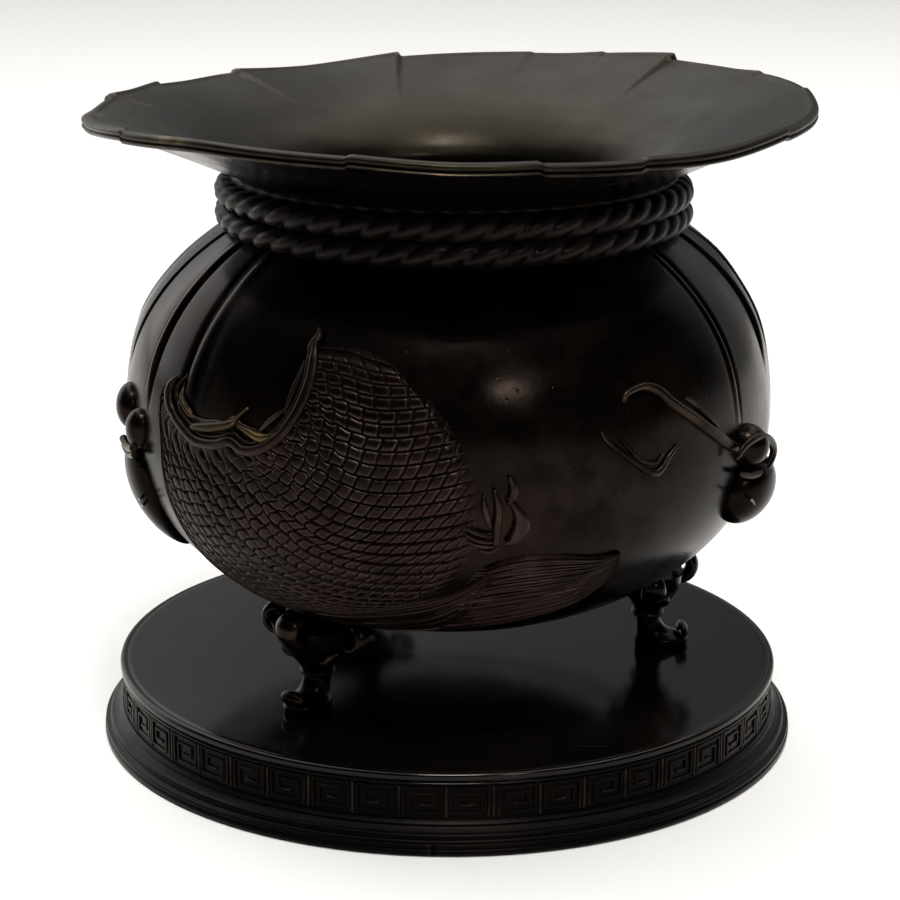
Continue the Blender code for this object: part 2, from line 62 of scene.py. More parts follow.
# %% Sizes
stand_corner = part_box("round_stand")[1]
stand_height = round(stand_corner[2], 4)
stand_foot_radius = round(stand_corner[0], 4)
stand_top_radius = 0.1094
sole_gap = 0.0003
sole_plane = stand_height + sole_gap
belly_radius = 0.1046
belly_height = 0.0860
belly_bottom = 0.0155
belly_power = 2.15
shoulder_rise = 0.0746
shoulder_power = 2.3
wall = 0.0036
neck_radius = 0.0720
neck_shift = 0.0014
rope_radius = 0.0038
rope_clearance = 0.0002
neck_spare = 0.0030
rim_radius = 0.1166


# %% The turned form
def smooth(x):
    x = np.clip(x, 0.0, 1.0)
    return x * x * (3 - 2 * x)


def angle_between(a, b):
    return (a - b + 180.0) % 360.0 - 180.0


def sack_radius(height, inset=0.0):
    """Radius of the turned form at a height over the soles."""
    height = np.asarray(height, dtype=float)
    low = (belly_height - height) / (belly_height - belly_bottom - inset)
    high = (height - belly_height) / (shoulder_rise - inset)
    share = np.clip(np.where(height < belly_height, low, high), 0.0, 1.0)
    power = np.where(height < belly_height, belly_power, shoulder_power)
    return (belly_radius - inset) * (1.0 - share ** power) ** (1.0 / power)


def shoulder_height(radius, inset=0.0):
    """Height of the turned form at a radius, above the widest ring."""
    share = radius / (belly_radius - inset)
    rise = (1.0 - share ** shoulder_power) ** (1.0 / shoulder_power)
    return belly_height + (shoulder_rise - inset) * rise


neck_bottom = float(shoulder_height(neck_radius))
rope_low = neck_bottom + rope_clearance + rope_radius
neck_top = neck_bottom + neck_spare + 4 * rope_radius
print("neck from", round(neck_bottom * 1000, 1), "to", round(neck_top * 1000, 1), "mm over the soles")

# %% [markdown]
# ## Folds gathered under the rope
# Cloth drawn in by a rope falls in long flutes that run down the shoulder and die away on the
# belly. Each line between two flutes is a groove with a fine ridge along one side. They could be
# sculpted, but each is so simple that a row of numbers gives it, and it stays crisp and movable.

# %% Where the folds and swellings are
# azimuth at the rope and at the lower end, height of that end, groove's half width and depth,
# side of the ridge, its height and its distance
folds = (
    (-77.0, -80.0, 0.098, 0.0010, 0.0009, -1, 0.0006, 0.0022),
    (-62.5, -62.5, 0.090, 0.0011, 0.0011, -1, 0.0010, 0.0022),
    (-51.5, -52.0, 0.092, 0.0019, 0.0012, 1, 0.0005, 0.0036),
    (56.8, 60.0, 0.086, 0.0013, 0.0010, -1, 0.0006, 0.0020),
    (76.0, 75.5, 0.100, 0.0015, 0.0011, 1, 0.0011, 0.0030),
    (88.0, 82.0, 0.100, 0.0011, 0.0010, 1, 0.0006, 0.0024),
    (104.0, 106.0, 0.096, 0.0013, 0.0011, -1, 0.0009, 0.0026),
    (121.0, 123.0, 0.090, 0.0016, 0.0011, 1, 0.0007, 0.0030),
    (139.0, 141.0, 0.098, 0.0012, 0.0010, -1, 0.0010, 0.0024),
    (158.0, 159.0, 0.088, 0.0015, 0.0011, 1, 0.0006, 0.0028),
    (176.0, 177.0, 0.096, 0.0012, 0.0011, -1, 0.0010, 0.0024),
    (196.0, 195.0, 0.089, 0.0016, 0.0012, 1, 0.0006, 0.0030),
    (214.0, 212.0, 0.098, 0.0012, 0.0010, -1, 0.0010, 0.0024),
    (231.0, 230.0, 0.090, 0.0014, 0.0011, 1, 0.0007, 0.0028),
    (249.0, 248.0, 0.097, 0.0012, 0.0010, -1, 0.0009, 0.0024),
    (266.0, 265.0, 0.100, 0.0012, 0.0009, 1, 0.0006, 0.0026),
)
# broad swellings of the cloth: azimuth, height, rise, half widths in degrees and metres
pillows = (
    (-92.0, 0.112, 0.0009, 13.0, 0.020),
    (90.0, 0.139, 0.0012, 13.0, 0.014),
    (-69.0, 0.122, 0.0005, 7.0, 0.022),
    (68.0, 0.118, 0.0006, 8.0, 0.022),
    (150.0, 0.120, 0.0006, 9.0, 0.022),
    (-120.0, 0.120, 0.0006, 9.0, 0.022),
)
fold_slimming = 0.45
fold_fade = 2.4
fold_reach = 0.004
ridge_spread = 0.75
outer_line_place = 1.9
outer_line_share = 0.35
outer_line_half = 0.0006
print(len(folds), "folds and", len(pillows), "swellings")


# %% The lift of the folds
def axis_shift(height):
    """How far the middle of the sack has moved to the right at a height."""
    return neck_shift * smooth((np.asarray(height) - belly_height) / (neck_bottom - belly_height))


def hand_waves(azimuth, height):
    """The slow unevenness that hand-worked wax leaves in a casting."""
    a, h = np.radians(azimuth), np.asarray(height) * 1000.0
    waves = np.sin(3 * a + 0.06 * h) + np.sin(7 * a - 0.11 * h + 1.3) + 0.7 * np.sin(13 * a + 0.17 * h)
    return 0.00008 * waves


def fold_lift(azimuth, height):
    """How far folds and swellings move the skin out from the turned form."""
    azimuth, height = np.broadcast_arrays(np.asarray(azimuth, float), np.asarray(height, float))
    lift = np.zeros(azimuth.shape)
    ring = np.maximum(sack_radius(height), 0.01)
    for top, low, end, half, depth, side, rise, apart in folds:
        share = np.clip((neck_bottom - height) / (neck_bottom - end), 0.0, 1.0)
        across = np.radians(angle_between(azimuth, top + (low - top) * share)) * ring
        fade = smooth(fold_fade * (1.0 - share)) * (height < neck_bottom + fold_reach)
        width = half * (1.0 - fold_slimming * share)
        lift = lift - depth * np.exp(-(across / width) ** 2) * fade
        lift = lift + rise * np.exp(-((across - side * apart) / (ridge_spread * apart)) ** 2) * fade
        outer = across - side * outer_line_place * apart
        lift = lift - outer_line_share * depth * np.exp(-(outer / outer_line_half) ** 2) * fade
    for middle, level, rise, wide, high in pillows:
        near = smooth(1 - np.abs(angle_between(azimuth, middle)) / wide)
        lift = lift + rise * near * smooth(1 - np.abs(height - level) / high)
    return lift


# %% Points on the skin
slope_step = 0.0005
steepest = 30


def skin(azimuth, height, lift=0.0):
    """Points at a lift over the sack's skin."""
    azimuth, height, lift = np.broadcast_arrays(azimuth, np.asarray(height, float), lift)
    slope = (sack_radius(height + slope_step) - sack_radius(height - slope_step)) / (2 * slope_step)
    slope = np.clip(slope, -steepest, steepest)
    size = np.hypot(1.0, slope)
    radius = sack_radius(height) + fold_lift(azimuth, height) + (lift + hand_waves(azimuth, height)) / size
    angle = np.radians(azimuth)
    x = radius * np.sin(angle) + axis_shift(height)
    return np.stack([x, -radius * np.cos(angle), height - lift * slope / size + sole_plane], -1)


def polar(radius, azimuth, height):
    """Points at a radius and azimuth, with the height over the soles."""
    radius, azimuth, height = np.broadcast_arrays(radius, azimuth, height)
    angle = np.radians(azimuth)
    return np.stack([radius * np.sin(angle), -radius * np.cos(angle), height + sole_plane], -1)


def beside(place, along, up):
    """Azimuth and height some way along and up the skin from a place."""
    azimuth, height = place
    slope = float(sack_radius(height + slope_step) - sack_radius(height - slope_step)) / (2 * slope_step)
    return azimuth + np.degrees(along / float(sack_radius(height))), height + up / math.hypot(1.0, slope)


# %% [markdown]
# ## Turning rows of points into pieces
# Every surface here is a grid: rows of points round or along the form. One helper joins such a grid
# into faces. Another measures how each point bends, ridge or hollow, and that is kept on the mesh,
# because a worn patina is brown on the ridges and black in the hollows.

# %% Faces of a grid
def grid_faces(rows, columns, start=0, closed=True, looped=False):
    """Quads between neighbouring rows; closed joins a row's ends, looped joins last row to first."""
    r = np.arange(rows if looped else rows - 1)[:, None]
    c = np.arange(columns if closed else columns - 1)[None, :]
    a = start + r * columns + c
    b = start + r * columns + (c + 1) % columns
    d = start + ((r + 1) % rows) * columns + c
    e = start + ((r + 1) % rows) * columns + (c + 1) % columns
    return np.stack([a, b, e, d], -1).reshape(-1, 4)


# %% Ridges and hollows
own_share = 0.4
neighbour_share = 0.6


def bend_of(mesh, passes):
    """How far each point stands over its neighbours' middle, smoothed, in its edges' length."""
    count = len(mesh.vertices)
    place, normal = np.empty(count * 3), np.empty(count * 3)
    mesh.vertices.foreach_get("co", place)
    mesh.vertices.foreach_get("normal", normal)
    place, normal = place.reshape(-1, 3), normal.reshape(-1, 3)
    ends = np.empty(len(mesh.edges) * 2, dtype=np.int64)
    mesh.edges.foreach_get("vertices", ends)
    a, b = ends.reshape(-1, 2).T
    degree = np.maximum(np.bincount(a, minlength=count) + np.bincount(b, minlength=count), 1)

    def around(values):
        total = np.bincount(a, values[b], count) + np.bincount(b, values[a], count)
        return total / degree

    middle = np.stack([around(place[:, k]) for k in range(3)], -1)
    reach = np.linalg.norm(place[a] - place[b], axis=1)
    length = (np.bincount(a, reach, count) + np.bincount(b, reach, count)) / degree
    bend = ((place - middle) * normal).sum(1) / np.maximum(length, 1e-6)
    for _ in range(passes):
        bend = own_share * bend + neighbour_share * around(bend)
    return bend


# %% A finished piece
sharp_angle = math.radians(52)


def piece(name, points, faces, material, slot="burner_bronze", node="sack_burner", wear=(6.0, 2), rub=None):
    """A finished piece: mesh, smooth shading, wear values, finish, and its place on the frame."""
    mesh = bpy.data.meshes.new(name)
    places = np.asarray(points, float).reshape(-1, 3).tolist()
    mesh.from_pydata(places, [], [list(map(int, face)) for face in faces])
    form = bmesh.new()
    form.from_mesh(mesh)
    bmesh.ops.recalc_face_normals(form, faces=form.faces)
    form.to_mesh(mesh)
    form.free()
    mesh.shade_smooth()
    mesh.set_sharp_from_angle(angle=sharp_angle)
    gain, passes = wear
    bend = bend_of(mesh, passes) * gain
    ridge = np.clip(bend, 0.0, 1.0)
    if rub is not None:
        ridge = np.clip(ridge + np.asarray(rub, float).ravel()[:len(ridge)], 0.0, 1.0)
    for label, values in (("ridge", ridge), ("hollow", np.clip(-bend, 0.0, 1.0))):
        kept = mesh.attributes.new(label, "FLOAT", "POINT")
        kept.data.foreach_set("value", values.astype(np.float32))
    mesh.materials.append(material)
    thing = bpy.data.objects.new(name, mesh)
    bpy.context.scene.collection.objects.link(thing)
    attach(thing, "root")
    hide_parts(node)
    triangles = sum(len(face.vertices) - 2 for face in mesh.polygons)
    print(f"{name}: {len(mesh.vertices)} points, {triangles} triangles")
    return thing


# %% Lines and tubes
def along_line(line, count):
    """A line of points resampled evenly along its length."""
    line = np.asarray(line, float)
    steps = np.linalg.norm(np.diff(line, axis=0), axis=1)
    run = np.concatenate([[0.0], np.cumsum(steps)])
    at = np.linspace(0.0, run[-1], count)
    return np.stack([np.interp(at, run, line[:, k]) for k in range(line.shape[1])], -1)


def sprung(points, count):
    """A smooth curve through a few points."""
    points = np.asarray(points, float)
    last = len(points) - 1
    at = np.linspace(0.0, last, count)
    base = np.minimum(at.astype(int), last - 1)
    t = (at - base)[:, None]
    a, b, c, d = (points[np.clip(base + k, 0, last)] for k in (-1, 0, 1, 2))
    bent = (2 * a - 5 * b + 4 * c - d) * t ** 2
    return 0.5 * (2 * b + (c - a) * t + bent + (3 * b - a - 3 * c + d) * t ** 3)


def tube(route, radii, sides=12, flat=1.0, up=None):
    """Rings of points round a route; flat squashes the section along up."""
    route = np.asarray(route, float)
    radii = np.broadcast_to(radii, (len(route),))
    run = np.gradient(route, axis=0)
    run /= np.linalg.norm(run, axis=1, keepdims=True)
    if up is None:
        up = np.tile([0.0, 0.0, 1.0], (len(route), 1))
    side = np.cross(run, up)
    side /= np.maximum(np.linalg.norm(side, axis=1, keepdims=True), 1e-9)
    rise = np.cross(side, run)
    turn = np.linspace(0, 2 * np.pi, sides, endpoint=False)
    sideways = side[:, None] * np.cos(turn)[None, :, None]
    upward = rise[:, None] * (flat * np.sin(turn))[None, :, None]
    return route[:, None] + radii[:, None, None] * (sideways + upward)


def capped(grid, start=0):
    """Faces of a tube's grid with both ends closed."""
    rows, columns = grid.shape[:2]
    faces = grid_faces(rows, columns, start).tolist()
    faces.append([start + k for k in reversed(range(columns))])
    faces.append([start + (rows - 1) * columns + k for k in range(columns)])
    return faces


def joined(grids):
    """Several capped tubes as the points and faces of one piece."""
    points, faces, start = [], [], 0
    for grid in grids:
        points.append(grid.reshape(-1, 3))
        faces += capped(grid, start)
        start += len(points[-1])
    return np.concatenate(points), faces


# %% [markdown]
# ## The patina
# Old cast bronze of this kind is almost black. Where hands rub it the brown metal comes through,
# and in the hollows wax and dust dull it. All finishes share three effects, so each is a group of
# nodes: the cloudy colour, the rubbed ridges and the grain of the casting. A group only gives out
# colours, masks and heights. The shader itself stays in each material, with its own values.

# %% Helpers for node groups
def new_group(name, inputs, outputs):
    """An empty node group with its sockets, and its input and output nodes."""
    tree = bpy.data.node_groups.new(name, "ShaderNodeTree")
    for label, kind, value in inputs:
        socket = tree.interface.new_socket(name=label, in_out="INPUT", socket_type=kind)
        socket.default_value = value
    for label, kind in outputs:
        tree.interface.new_socket(name=label, in_out="OUTPUT", socket_type=kind)
    return tree, tree.nodes.new("NodeGroupInput"), tree.nodes.new("NodeGroupOutput")


def add(tree, kind, **settings):
    """A node with its settings; a value named after a socket is put on that socket."""
    node = tree.nodes.new(kind)
    for label, value in settings.items():
        if hasattr(node, label):
            setattr(node, label, value)
        else:
            node.inputs[label.replace("_", " ").title()].default_value = value
    return node


def maths(tree, operation, a, b=None, clamp=False):
    node = tree.nodes.new("ShaderNodeMath")
    node.operation, node.use_clamp = operation, clamp
    for socket, value in zip(node.inputs, (a, b)):
        if isinstance(value, (int, float)):
            socket.default_value = value
        elif value is not None:
            tree.links.new(value, socket)
    return node.outputs[0]


def blend(tree, amount, a, b):
    """Colour a turns into b as amount goes from 0 to 1."""
    node = tree.nodes.new("ShaderNodeMix")
    node.data_type = "RGBA"
    for socket, value in ((node.inputs[0], amount), (node.inputs[6], a), (node.inputs[7], b)):
        if isinstance(value, (int, float, tuple)):
            socket.default_value = value
        else:
            tree.links.new(value, socket)
    return node.outputs[2]


def noise(tree, where, scale, detail=4.0, roughness=0.55):
    node = add(tree, "ShaderNodeTexNoise", scale=scale, detail=detail, roughness=roughness)
    tree.links.new(where, node.inputs["Vector"])
    return node.outputs["Fac"]


def band(tree, value, low, high, to_low=0.0, to_high=1.0):
    """A smooth step from one value to another as the input goes from low to high."""
    node = tree.nodes.new("ShaderNodeMapRange")
    node.interpolation_type = "SMOOTHSTEP"
    tree.links.new(value, node.inputs[0])
    for socket, number in zip(node.inputs[1:5], (low, high, to_low, to_high)):
        socket.default_value = number
    return node.outputs[0]


# %% The cloudy colour
colour_kind, value_kind = "NodeSocketColor", "NodeSocketFloat"

cloudy, cloudy_in, cloudy_out = new_group(
    "cloudy patina",
    [("Dark", colour_kind, (0.004, 0.003, 0.003, 1)), ("Brown", colour_kind, (0.02, 0.009, 0.006, 1)),
     ("Brown share", value_kind, 0.5), ("Gloss", value_kind, 0.25), ("Gloss spread", value_kind, 0.12)],
    [("Colour", colour_kind), ("Roughness", value_kind)])
spot = cloudy.nodes.new("ShaderNodeTexCoord").outputs["Object"]
broad = noise(cloudy, spot, 17.0, 3.0)
fine = noise(cloudy, spot, 160.0, 5.0, 0.65)
specks = noise(cloudy, spot, 700.0, 2.0, 0.7)
patches = maths(cloudy, "ADD", broad, maths(cloudy, "MULTIPLY", maths(cloudy, "SUBTRACT", fine, 0.5), 0.35))
brown_mask = maths(cloudy, "MULTIPLY", band(cloudy, patches, 0.38, 0.66), cloudy_in.outputs["Brown share"])
tone = blend(cloudy, brown_mask, cloudy_in.outputs["Dark"], cloudy_in.outputs["Brown"])
speck_mask = maths(cloudy, "MULTIPLY", band(cloudy, specks, 0.62, 0.72), 0.35)
tone = blend(cloudy, speck_mask, tone, cloudy_in.outputs["Brown"])
spread = maths(cloudy, "MULTIPLY", maths(cloudy, "SUBTRACT", noise(cloudy, spot, 60.0, 6.0), 0.5),
               cloudy_in.outputs["Gloss spread"])
roughness = maths(cloudy, "ADD", cloudy_in.outputs["Gloss"], maths(cloudy, "MULTIPLY", spread, 4.0), True)
cloudy.links.new(tone, cloudy_out.inputs["Colour"])
cloudy.links.new(roughness, cloudy_out.inputs["Roughness"])

# %% The rubbed ridges and dusty hollows
rubbed, rubbed_in, rubbed_out = new_group(
    "rubbed ridges",
    [("Amount", value_kind, 1.0), ("Dust", value_kind, 1.0)],
    [("Worn", value_kind), ("Dusty", value_kind)])
spot = rubbed.nodes.new("ShaderNodeTexCoord").outputs["Object"]
uneven = band(rubbed, noise(rubbed, spot, 95.0, 4.0, 0.6), 0.36, 0.62, 0.15, 1.0)
ridge = add(rubbed, "ShaderNodeAttribute", attribute_name="ridge").outputs["Fac"]
hollow = add(rubbed, "ShaderNodeAttribute", attribute_name="hollow").outputs["Fac"]
worn = maths(rubbed, "MULTIPLY", band(rubbed, ridge, 0.16, 0.85), uneven)
worn = maths(rubbed, "MULTIPLY", worn, rubbed_in.outputs["Amount"], True)
dusty = maths(rubbed, "MULTIPLY", band(rubbed, hollow, 0.10, 0.80), rubbed_in.outputs["Dust"], True)
rubbed.links.new(worn, rubbed_out.inputs["Worn"])
rubbed.links.new(dusty, rubbed_out.inputs["Dusty"])

# %% The grain of the casting
grain, grain_in, grain_out = new_group(
    "casting grain",
    [("Pits", value_kind, 1.0), ("Ripple", value_kind, 1.0), ("Scratches", value_kind, 0.3)],
    [("Height", value_kind)])
spot = grain.nodes.new("ShaderNodeTexCoord").outputs["Object"]
cells = add(grain, "ShaderNodeTexVoronoi", scale=420.0)
grain.links.new(spot, cells.inputs["Vector"])
sparse = band(grain, noise(grain, spot, 150.0, 2.0), 0.56, 0.66)
pits = maths(grain, "MULTIPLY", band(grain, cells.outputs["Distance"], 0.05, 0.32, -1.0, 0.0), sparse)
ripple = maths(grain, "SUBTRACT", noise(grain, spot, 48.0, 5.0, 0.5), 0.5)
fine_grain = maths(grain, "MULTIPLY", maths(grain, "SUBTRACT", noise(grain, spot, 900.0, 3.0), 0.5), 0.16)
stretched = grain.nodes.new("ShaderNodeMapping")
stretched.inputs["Scale"].default_value = (14.0, 260.0, 90.0)
stretched.inputs["Rotation"].default_value = (0.3, 0.4, 0.7)
grain.links.new(spot, stretched.inputs["Vector"])
scratch = band(grain, noise(grain, stretched.outputs[0], 1.0, 3.0), 0.66, 0.74, 0.0, -1.0)
height = maths(grain, "ADD", maths(grain, "MULTIPLY", pits, grain_in.outputs["Pits"]),
               maths(grain, "MULTIPLY", ripple, grain_in.outputs["Ripple"]))
height = maths(grain, "ADD", height, maths(grain, "MULTIPLY", scratch, grain_in.outputs["Scratches"]))
grain.links.new(maths(grain, "ADD", height, fine_grain), grain_out.inputs["Height"])
print("node groups:", [tree.name for tree in bpy.data.node_groups])

# %% [markdown]
# ## Finishes made from the shared effects
# The mouth is smooth and evenly brown, the straw cape is reddish in its hollows, the ribbons keep
# traces of gilding, and the stand's top is polished like a mirror. They differ only in values, so
# one function places the three groups in a material and joins them to its shader.


# %% One function for every finish
def placed(tree, group, **values):
    """A node group in a material, with its own values."""
    node = add(tree, "ShaderNodeGroup", node_tree=group)
    for label, value in values.items():
        node.inputs[label.replace("_", " ").capitalize()].default_value = value
    return node


def finish(name, dark, brown, worn, share=0.6, gloss=0.24, gloss_spread=0.10, rub=0.6, dust=0.5,
           pits=0.5, ripple=0.5, scratches=0.2, depth=0.00012, dust_colour=(0.012, 0.007, 0.006),
           metal=0.80, shine=0.28):
    """A patina from its dark, brown and worn colours; depth is that of the grain in metres."""
    material = bpy.data.materials.new(name)
    material.use_nodes = True
    tree = material.node_tree
    shader = tree.nodes["Principled BSDF"]
    clouds = placed(tree, cloudy, dark=(*dark, 1), brown=(*brown, 1), brown_share=share, gloss=gloss,
                    gloss_spread=gloss_spread)
    wear = placed(tree, rubbed, amount=rub, dust=dust)
    cast = placed(tree, grain, pits=pits, ripple=ripple, scratches=scratches)
    colour = blend(tree, wear.outputs["Dusty"], clouds.outputs["Colour"], (*dust_colour, 1))
    colour = blend(tree, wear.outputs["Worn"], colour, (*worn, 1))
    tree.links.new(colour, shader.inputs["Base Color"])
    dull = maths(tree, "MULTIPLY", wear.outputs["Dusty"], 0.25)
    rough = maths(tree, "ADD", clouds.outputs["Roughness"], dull, True)
    tree.links.new(rough, shader.inputs["Roughness"])
    shader.inputs["Metallic"].default_value = metal
    shader.inputs["IOR"].default_value = 1.5
    shader.inputs["Specular IOR Level"].default_value = shine
    bump = add(tree, "ShaderNodeBump", strength=1.0, distance=depth)
    tree.links.new(cast.outputs["Height"], bump.inputs["Height"])
    tree.links.new(bump.outputs["Normal"], shader.inputs["Normal"])
    return material


# %% Finishes of the burner
skin_finish = finish("sack patina", (0.0035, 0.0024, 0.0021), (0.0125, 0.0064, 0.0050),
                     (0.085, 0.058, 0.040), shine=0.14)
mouth_finish = finish("mouth patina", (0.0115, 0.0095, 0.0064), (0.018, 0.0147, 0.0098),
                      (0.16, 0.115, 0.062), share=0.8, gloss=0.34, rub=0.8, pits=0.25, ripple=0.25,
                      scratches=0.25, shine=0.18)
straw_finish = finish("straw patina", (0.0085, 0.0050, 0.0042), (0.024, 0.0120, 0.0100),
                      (0.085, 0.060, 0.052), share=0.8, gloss=0.32, rub=0.45, dust=0.9,
                      dust_colour=(0.006, 0.0018, 0.0016), shine=0.22)
rope_finish = finish("rope patina", (0.0026, 0.0018, 0.0016), (0.007, 0.0040, 0.0034),
                     (0.040, 0.028, 0.024), gloss=0.36, rub=0.30, dust=1.0,
                     dust_colour=(0.003, 0.0012, 0.0010), metal=0.20, shine=0.10)
gilt_finish = finish("rubbed gilt", (0.020, 0.014, 0.007), (0.060, 0.042, 0.018), (0.30, 0.21, 0.09),
                     share=0.9, gloss=0.30, rub=1.0, dust=0.9, metal=0.85)
foot_finish = finish("foot patina", (0.0026, 0.0020, 0.0018), (0.009, 0.0055, 0.0044),
                     (0.060, 0.043, 0.032), rub=0.4, shine=0.14)
soot_finish = finish("sooty inside", (0.006, 0.0055, 0.005), (0.018, 0.015, 0.012), (0.05, 0.04, 0.03),
                     share=0.9, gloss=0.55, rub=0.2, pits=1.0, ripple=1.0, depth=0.0003)

# %% Finishes of the stand
stand_finish = finish("stand patina", (0.0040, 0.0034, 0.0030), (0.012, 0.0080, 0.0062),
                      (0.080, 0.060, 0.042), share=0.5, gloss=0.13, gloss_spread=0.05, rub=0.7,
                      pits=0.15, ripple=0.10, scratches=0.30, depth=0.00008, metal=0.5, shine=0.40)
band_finish = finish("stand band patina", (0.0022, 0.0018, 0.0017), (0.007, 0.0046, 0.0040),
                     (0.075, 0.058, 0.046), share=0.5, gloss=0.32, rub=0.7, dust=1.0,
                     dust_colour=(0.0010, 0.0007, 0.0007), metal=0.6, shine=0.06)
print("finishes:", [material.name for material in bpy.data.materials if material.use_nodes])

# %% [markdown]
# ## The body of the sack
# One closed grid goes up the outside from the pole under the belly to the neck, over its edge and
# down the inside. Rows are spaced by length along the profile. Columns crowd together beside each
# fold and lean with it, so a crease half a millimetre wide stays sharp without a heavy mesh.
# Charcoal and ash have been inside, so the faces there get a second, sooty material.

# %% The sack's profile
outer_rows = 136
inner_rows = 26
neck_end = neck_top - 0.0050
turn = np.linspace(0.0, np.pi / 2, 900)
below = np.stack([belly_radius * np.sin(turn) ** (2 / belly_power),
                  belly_height - (belly_height - belly_bottom) * np.cos(turn) ** (2 / belly_power)], -1)
heights = np.linspace(belly_height, neck_bottom, 500)[1:]
above = np.stack([sack_radius(heights), heights], -1)
neck = np.array([[neck_radius, neck_end]])
outside = along_line(np.concatenate([below, above, neck]), outer_rows)[1:]
inner_top = float(shoulder_height(neck_radius - wall, wall))
inner_heights = np.linspace(inner_top, belly_bottom + wall, 700)
inside = np.stack([sack_radius(inner_heights, wall), inner_heights], -1)
inside = along_line(np.concatenate([[[neck_radius - wall, neck_end]], inside]), inner_rows)[:-1]
print("rows outside", len(outside), "and inside", len(inside))

# %% Columns that crowd at the folds and lean with them
sack_columns = 560
even_share = 0.55
crowding = 7.0
crowd_half = 2.6
lean_end = 0.095
fold_tops = np.array([fold[0] for fold in folds])
fold_lows = np.array([fold[1] for fold in folds])
dense = np.linspace(-90.0, 270.0, 7201)
near_folds = sum(np.exp(-(angle_between(dense, top) / crowd_half) ** 2) for top in fold_tops)
crowd = even_share + crowding * near_folds
run = np.concatenate([[0.0], np.cumsum(0.5 * (crowd[1:] + crowd[:-1]))])
azimuths = np.interp(np.linspace(0.0, run[-1], sack_columns + 1)[:-1], run, dense)
knots = np.concatenate([fold_tops[-1:] - 360.0, fold_tops, fold_tops[:1] + 360.0])
leans = fold_lows - fold_tops
leans = np.concatenate([leans[-1:], leans, leans[:1]])
gaps = np.diff(azimuths)
print("columns lie", round(gaps.min(), 3), "to", round(gaps.max(), 3), "degrees apart")


def leaning(height):
    """The columns' azimuths at a height."""
    share = float(np.clip((neck_bottom - height) / (neck_bottom - lean_end), 0.0, 1.0))
    return azimuths + np.interp(azimuths, knots, leans) * share


# %% The sack's closed grid
rows = [skin(leaning(h), h, 0.0) if h < neck_bottom - 1e-5 else polar(r, azimuths, h) + [neck_shift, 0, 0]
        for r, h in outside]
rows += [polar(r, azimuths, h) + [float(axis_shift(h)), 0, 0] for r, h in inside]
poles = [[0, 0, sole_plane + belly_bottom], [0, 0, sole_plane + belly_bottom + wall]]
points = np.concatenate([np.stack(rows).reshape(-1, 3), poles])
faces = grid_faces(len(rows), sack_columns).tolist()
under, over = len(points) - 2, len(points) - 1
last_row = (len(rows) - 1) * sack_columns
for k in range(sack_columns):
    after = (k + 1) % sack_columns
    faces.append([under, after, k])
    faces.append([over, last_row + k, last_row + after])
sack_body = piece("sack_body", points, faces, skin_finish, wear=(18.0, 3))

# %% The sooty lining of the bowl
sack_body.data.materials.append(soot_finish)
marks = np.zeros(len(sack_body.data.polygons), dtype=np.int32)
centres = np.empty(len(marks) * 3)
sack_body.data.polygons.foreach_get("center", centres)
centres = centres.reshape(-1, 3)
reach = np.hypot(centres[:, 0], centres[:, 1])
heights = centres[:, 2] - sole_plane
# inside is what lies deeper than about half the wall
marks[(reach < sack_radius(heights) - wall * 0.55) & (heights > belly_bottom + wall * 0.6)] = 1
sack_body.data.polygons.foreach_set("material_index", marks)
print("faces with soot:", int(marks.sum()))

# %% [markdown]
# ## The mouth
# The gathered cloth opens over the rope into a shallow dish with a hemmed edge. Its edge is not
# level: it is lower on the left, and small pleats overlap with a sharp step. A closed grid that
# runs out along the underside, round the hem and back over the top gives the sheet its thickness.
# The underside is as dark as the sack, so its faces get the sack's finish.

# %% Pleats and swells of the edge
# azimuth of the step, rise, width in degrees, side to which it fades
mouth_pleats = (
    (-171.0, 0.0020, 18.0, 1), (-137.5, 0.0016, 16.0, -1), (-119.0, 0.0012, 10.0, 1),
    (-102.5, 0.0016, 13.0, -1), (-84.0, 0.0010, 12.0, 1), (-58.0, 0.0008, 14.0, -1),
    (-14.5, 0.0008, 16.0, 1), (13.0, 0.0008, 14.0, -1), (28.5, 0.0008, 18.0, 1),
    (62.0, 0.0007, 16.0, -1), (97.0, 0.0008, 12.0, -1), (114.0, 0.0008, 8.0, 1),
    (136.5, 0.0026, 24.0, 1), (151.0, 0.0006, 10.0, 1), (165.0, 0.0005, 14.0, 1),
)
# azimuth of the middle, rise, half width in degrees
mouth_swells = (
    (-152.0, -0.0018, 34.0), (-126.0, -0.0010, 12.0), (-95.0, -0.0013, 10.0), (-30.0, 0.0013, 30.0),
    (44.0, -0.0014, 34.0), (142.0, 0.0010, 26.0), (110.0, 0.0012, 26.0),
    (-42.0, 0.0044, 46.0), (-68.0, 0.0010, 22.0), (-4.0, 0.0024, 30.0),
)
mouth_tilt = 0.0030
highest_azimuth = 108.0
swell_power = 1.7
pleat_power = 2.6
pleat_lean = 5.0
pleat_fall = 1.6
step_width = 0.7
print(len(mouth_pleats), "pleats and", len(mouth_swells), "swells")

# %% The dish and its lift
rim_height = neck_top + 0.0196
hem_thickness = 0.0026
hem_width = 0.0042
rim_wall = 0.0034
throat_radius = neck_radius - wall
dish_slope = 1.12
dish_bow = 0.12
oval_inset = 0.0024
edge_ripple = 0.0004


def mouth_share(radius):
    return np.clip((radius - neck_radius) / (rim_radius - neck_radius), 0.0, 1.1)


def under_mouth(radius):
    """Height of the sheet's underside."""
    share = mouth_share(radius)
    bow = dish_slope * share - dish_bow * share ** 4
    return neck_top + (rim_height - hem_thickness - neck_top) * bow


def dish(radius):
    """Height of the sheet's upper side."""
    return under_mouth(radius) + rim_wall + (hem_thickness - rim_wall) * mouth_share(radius) ** 2


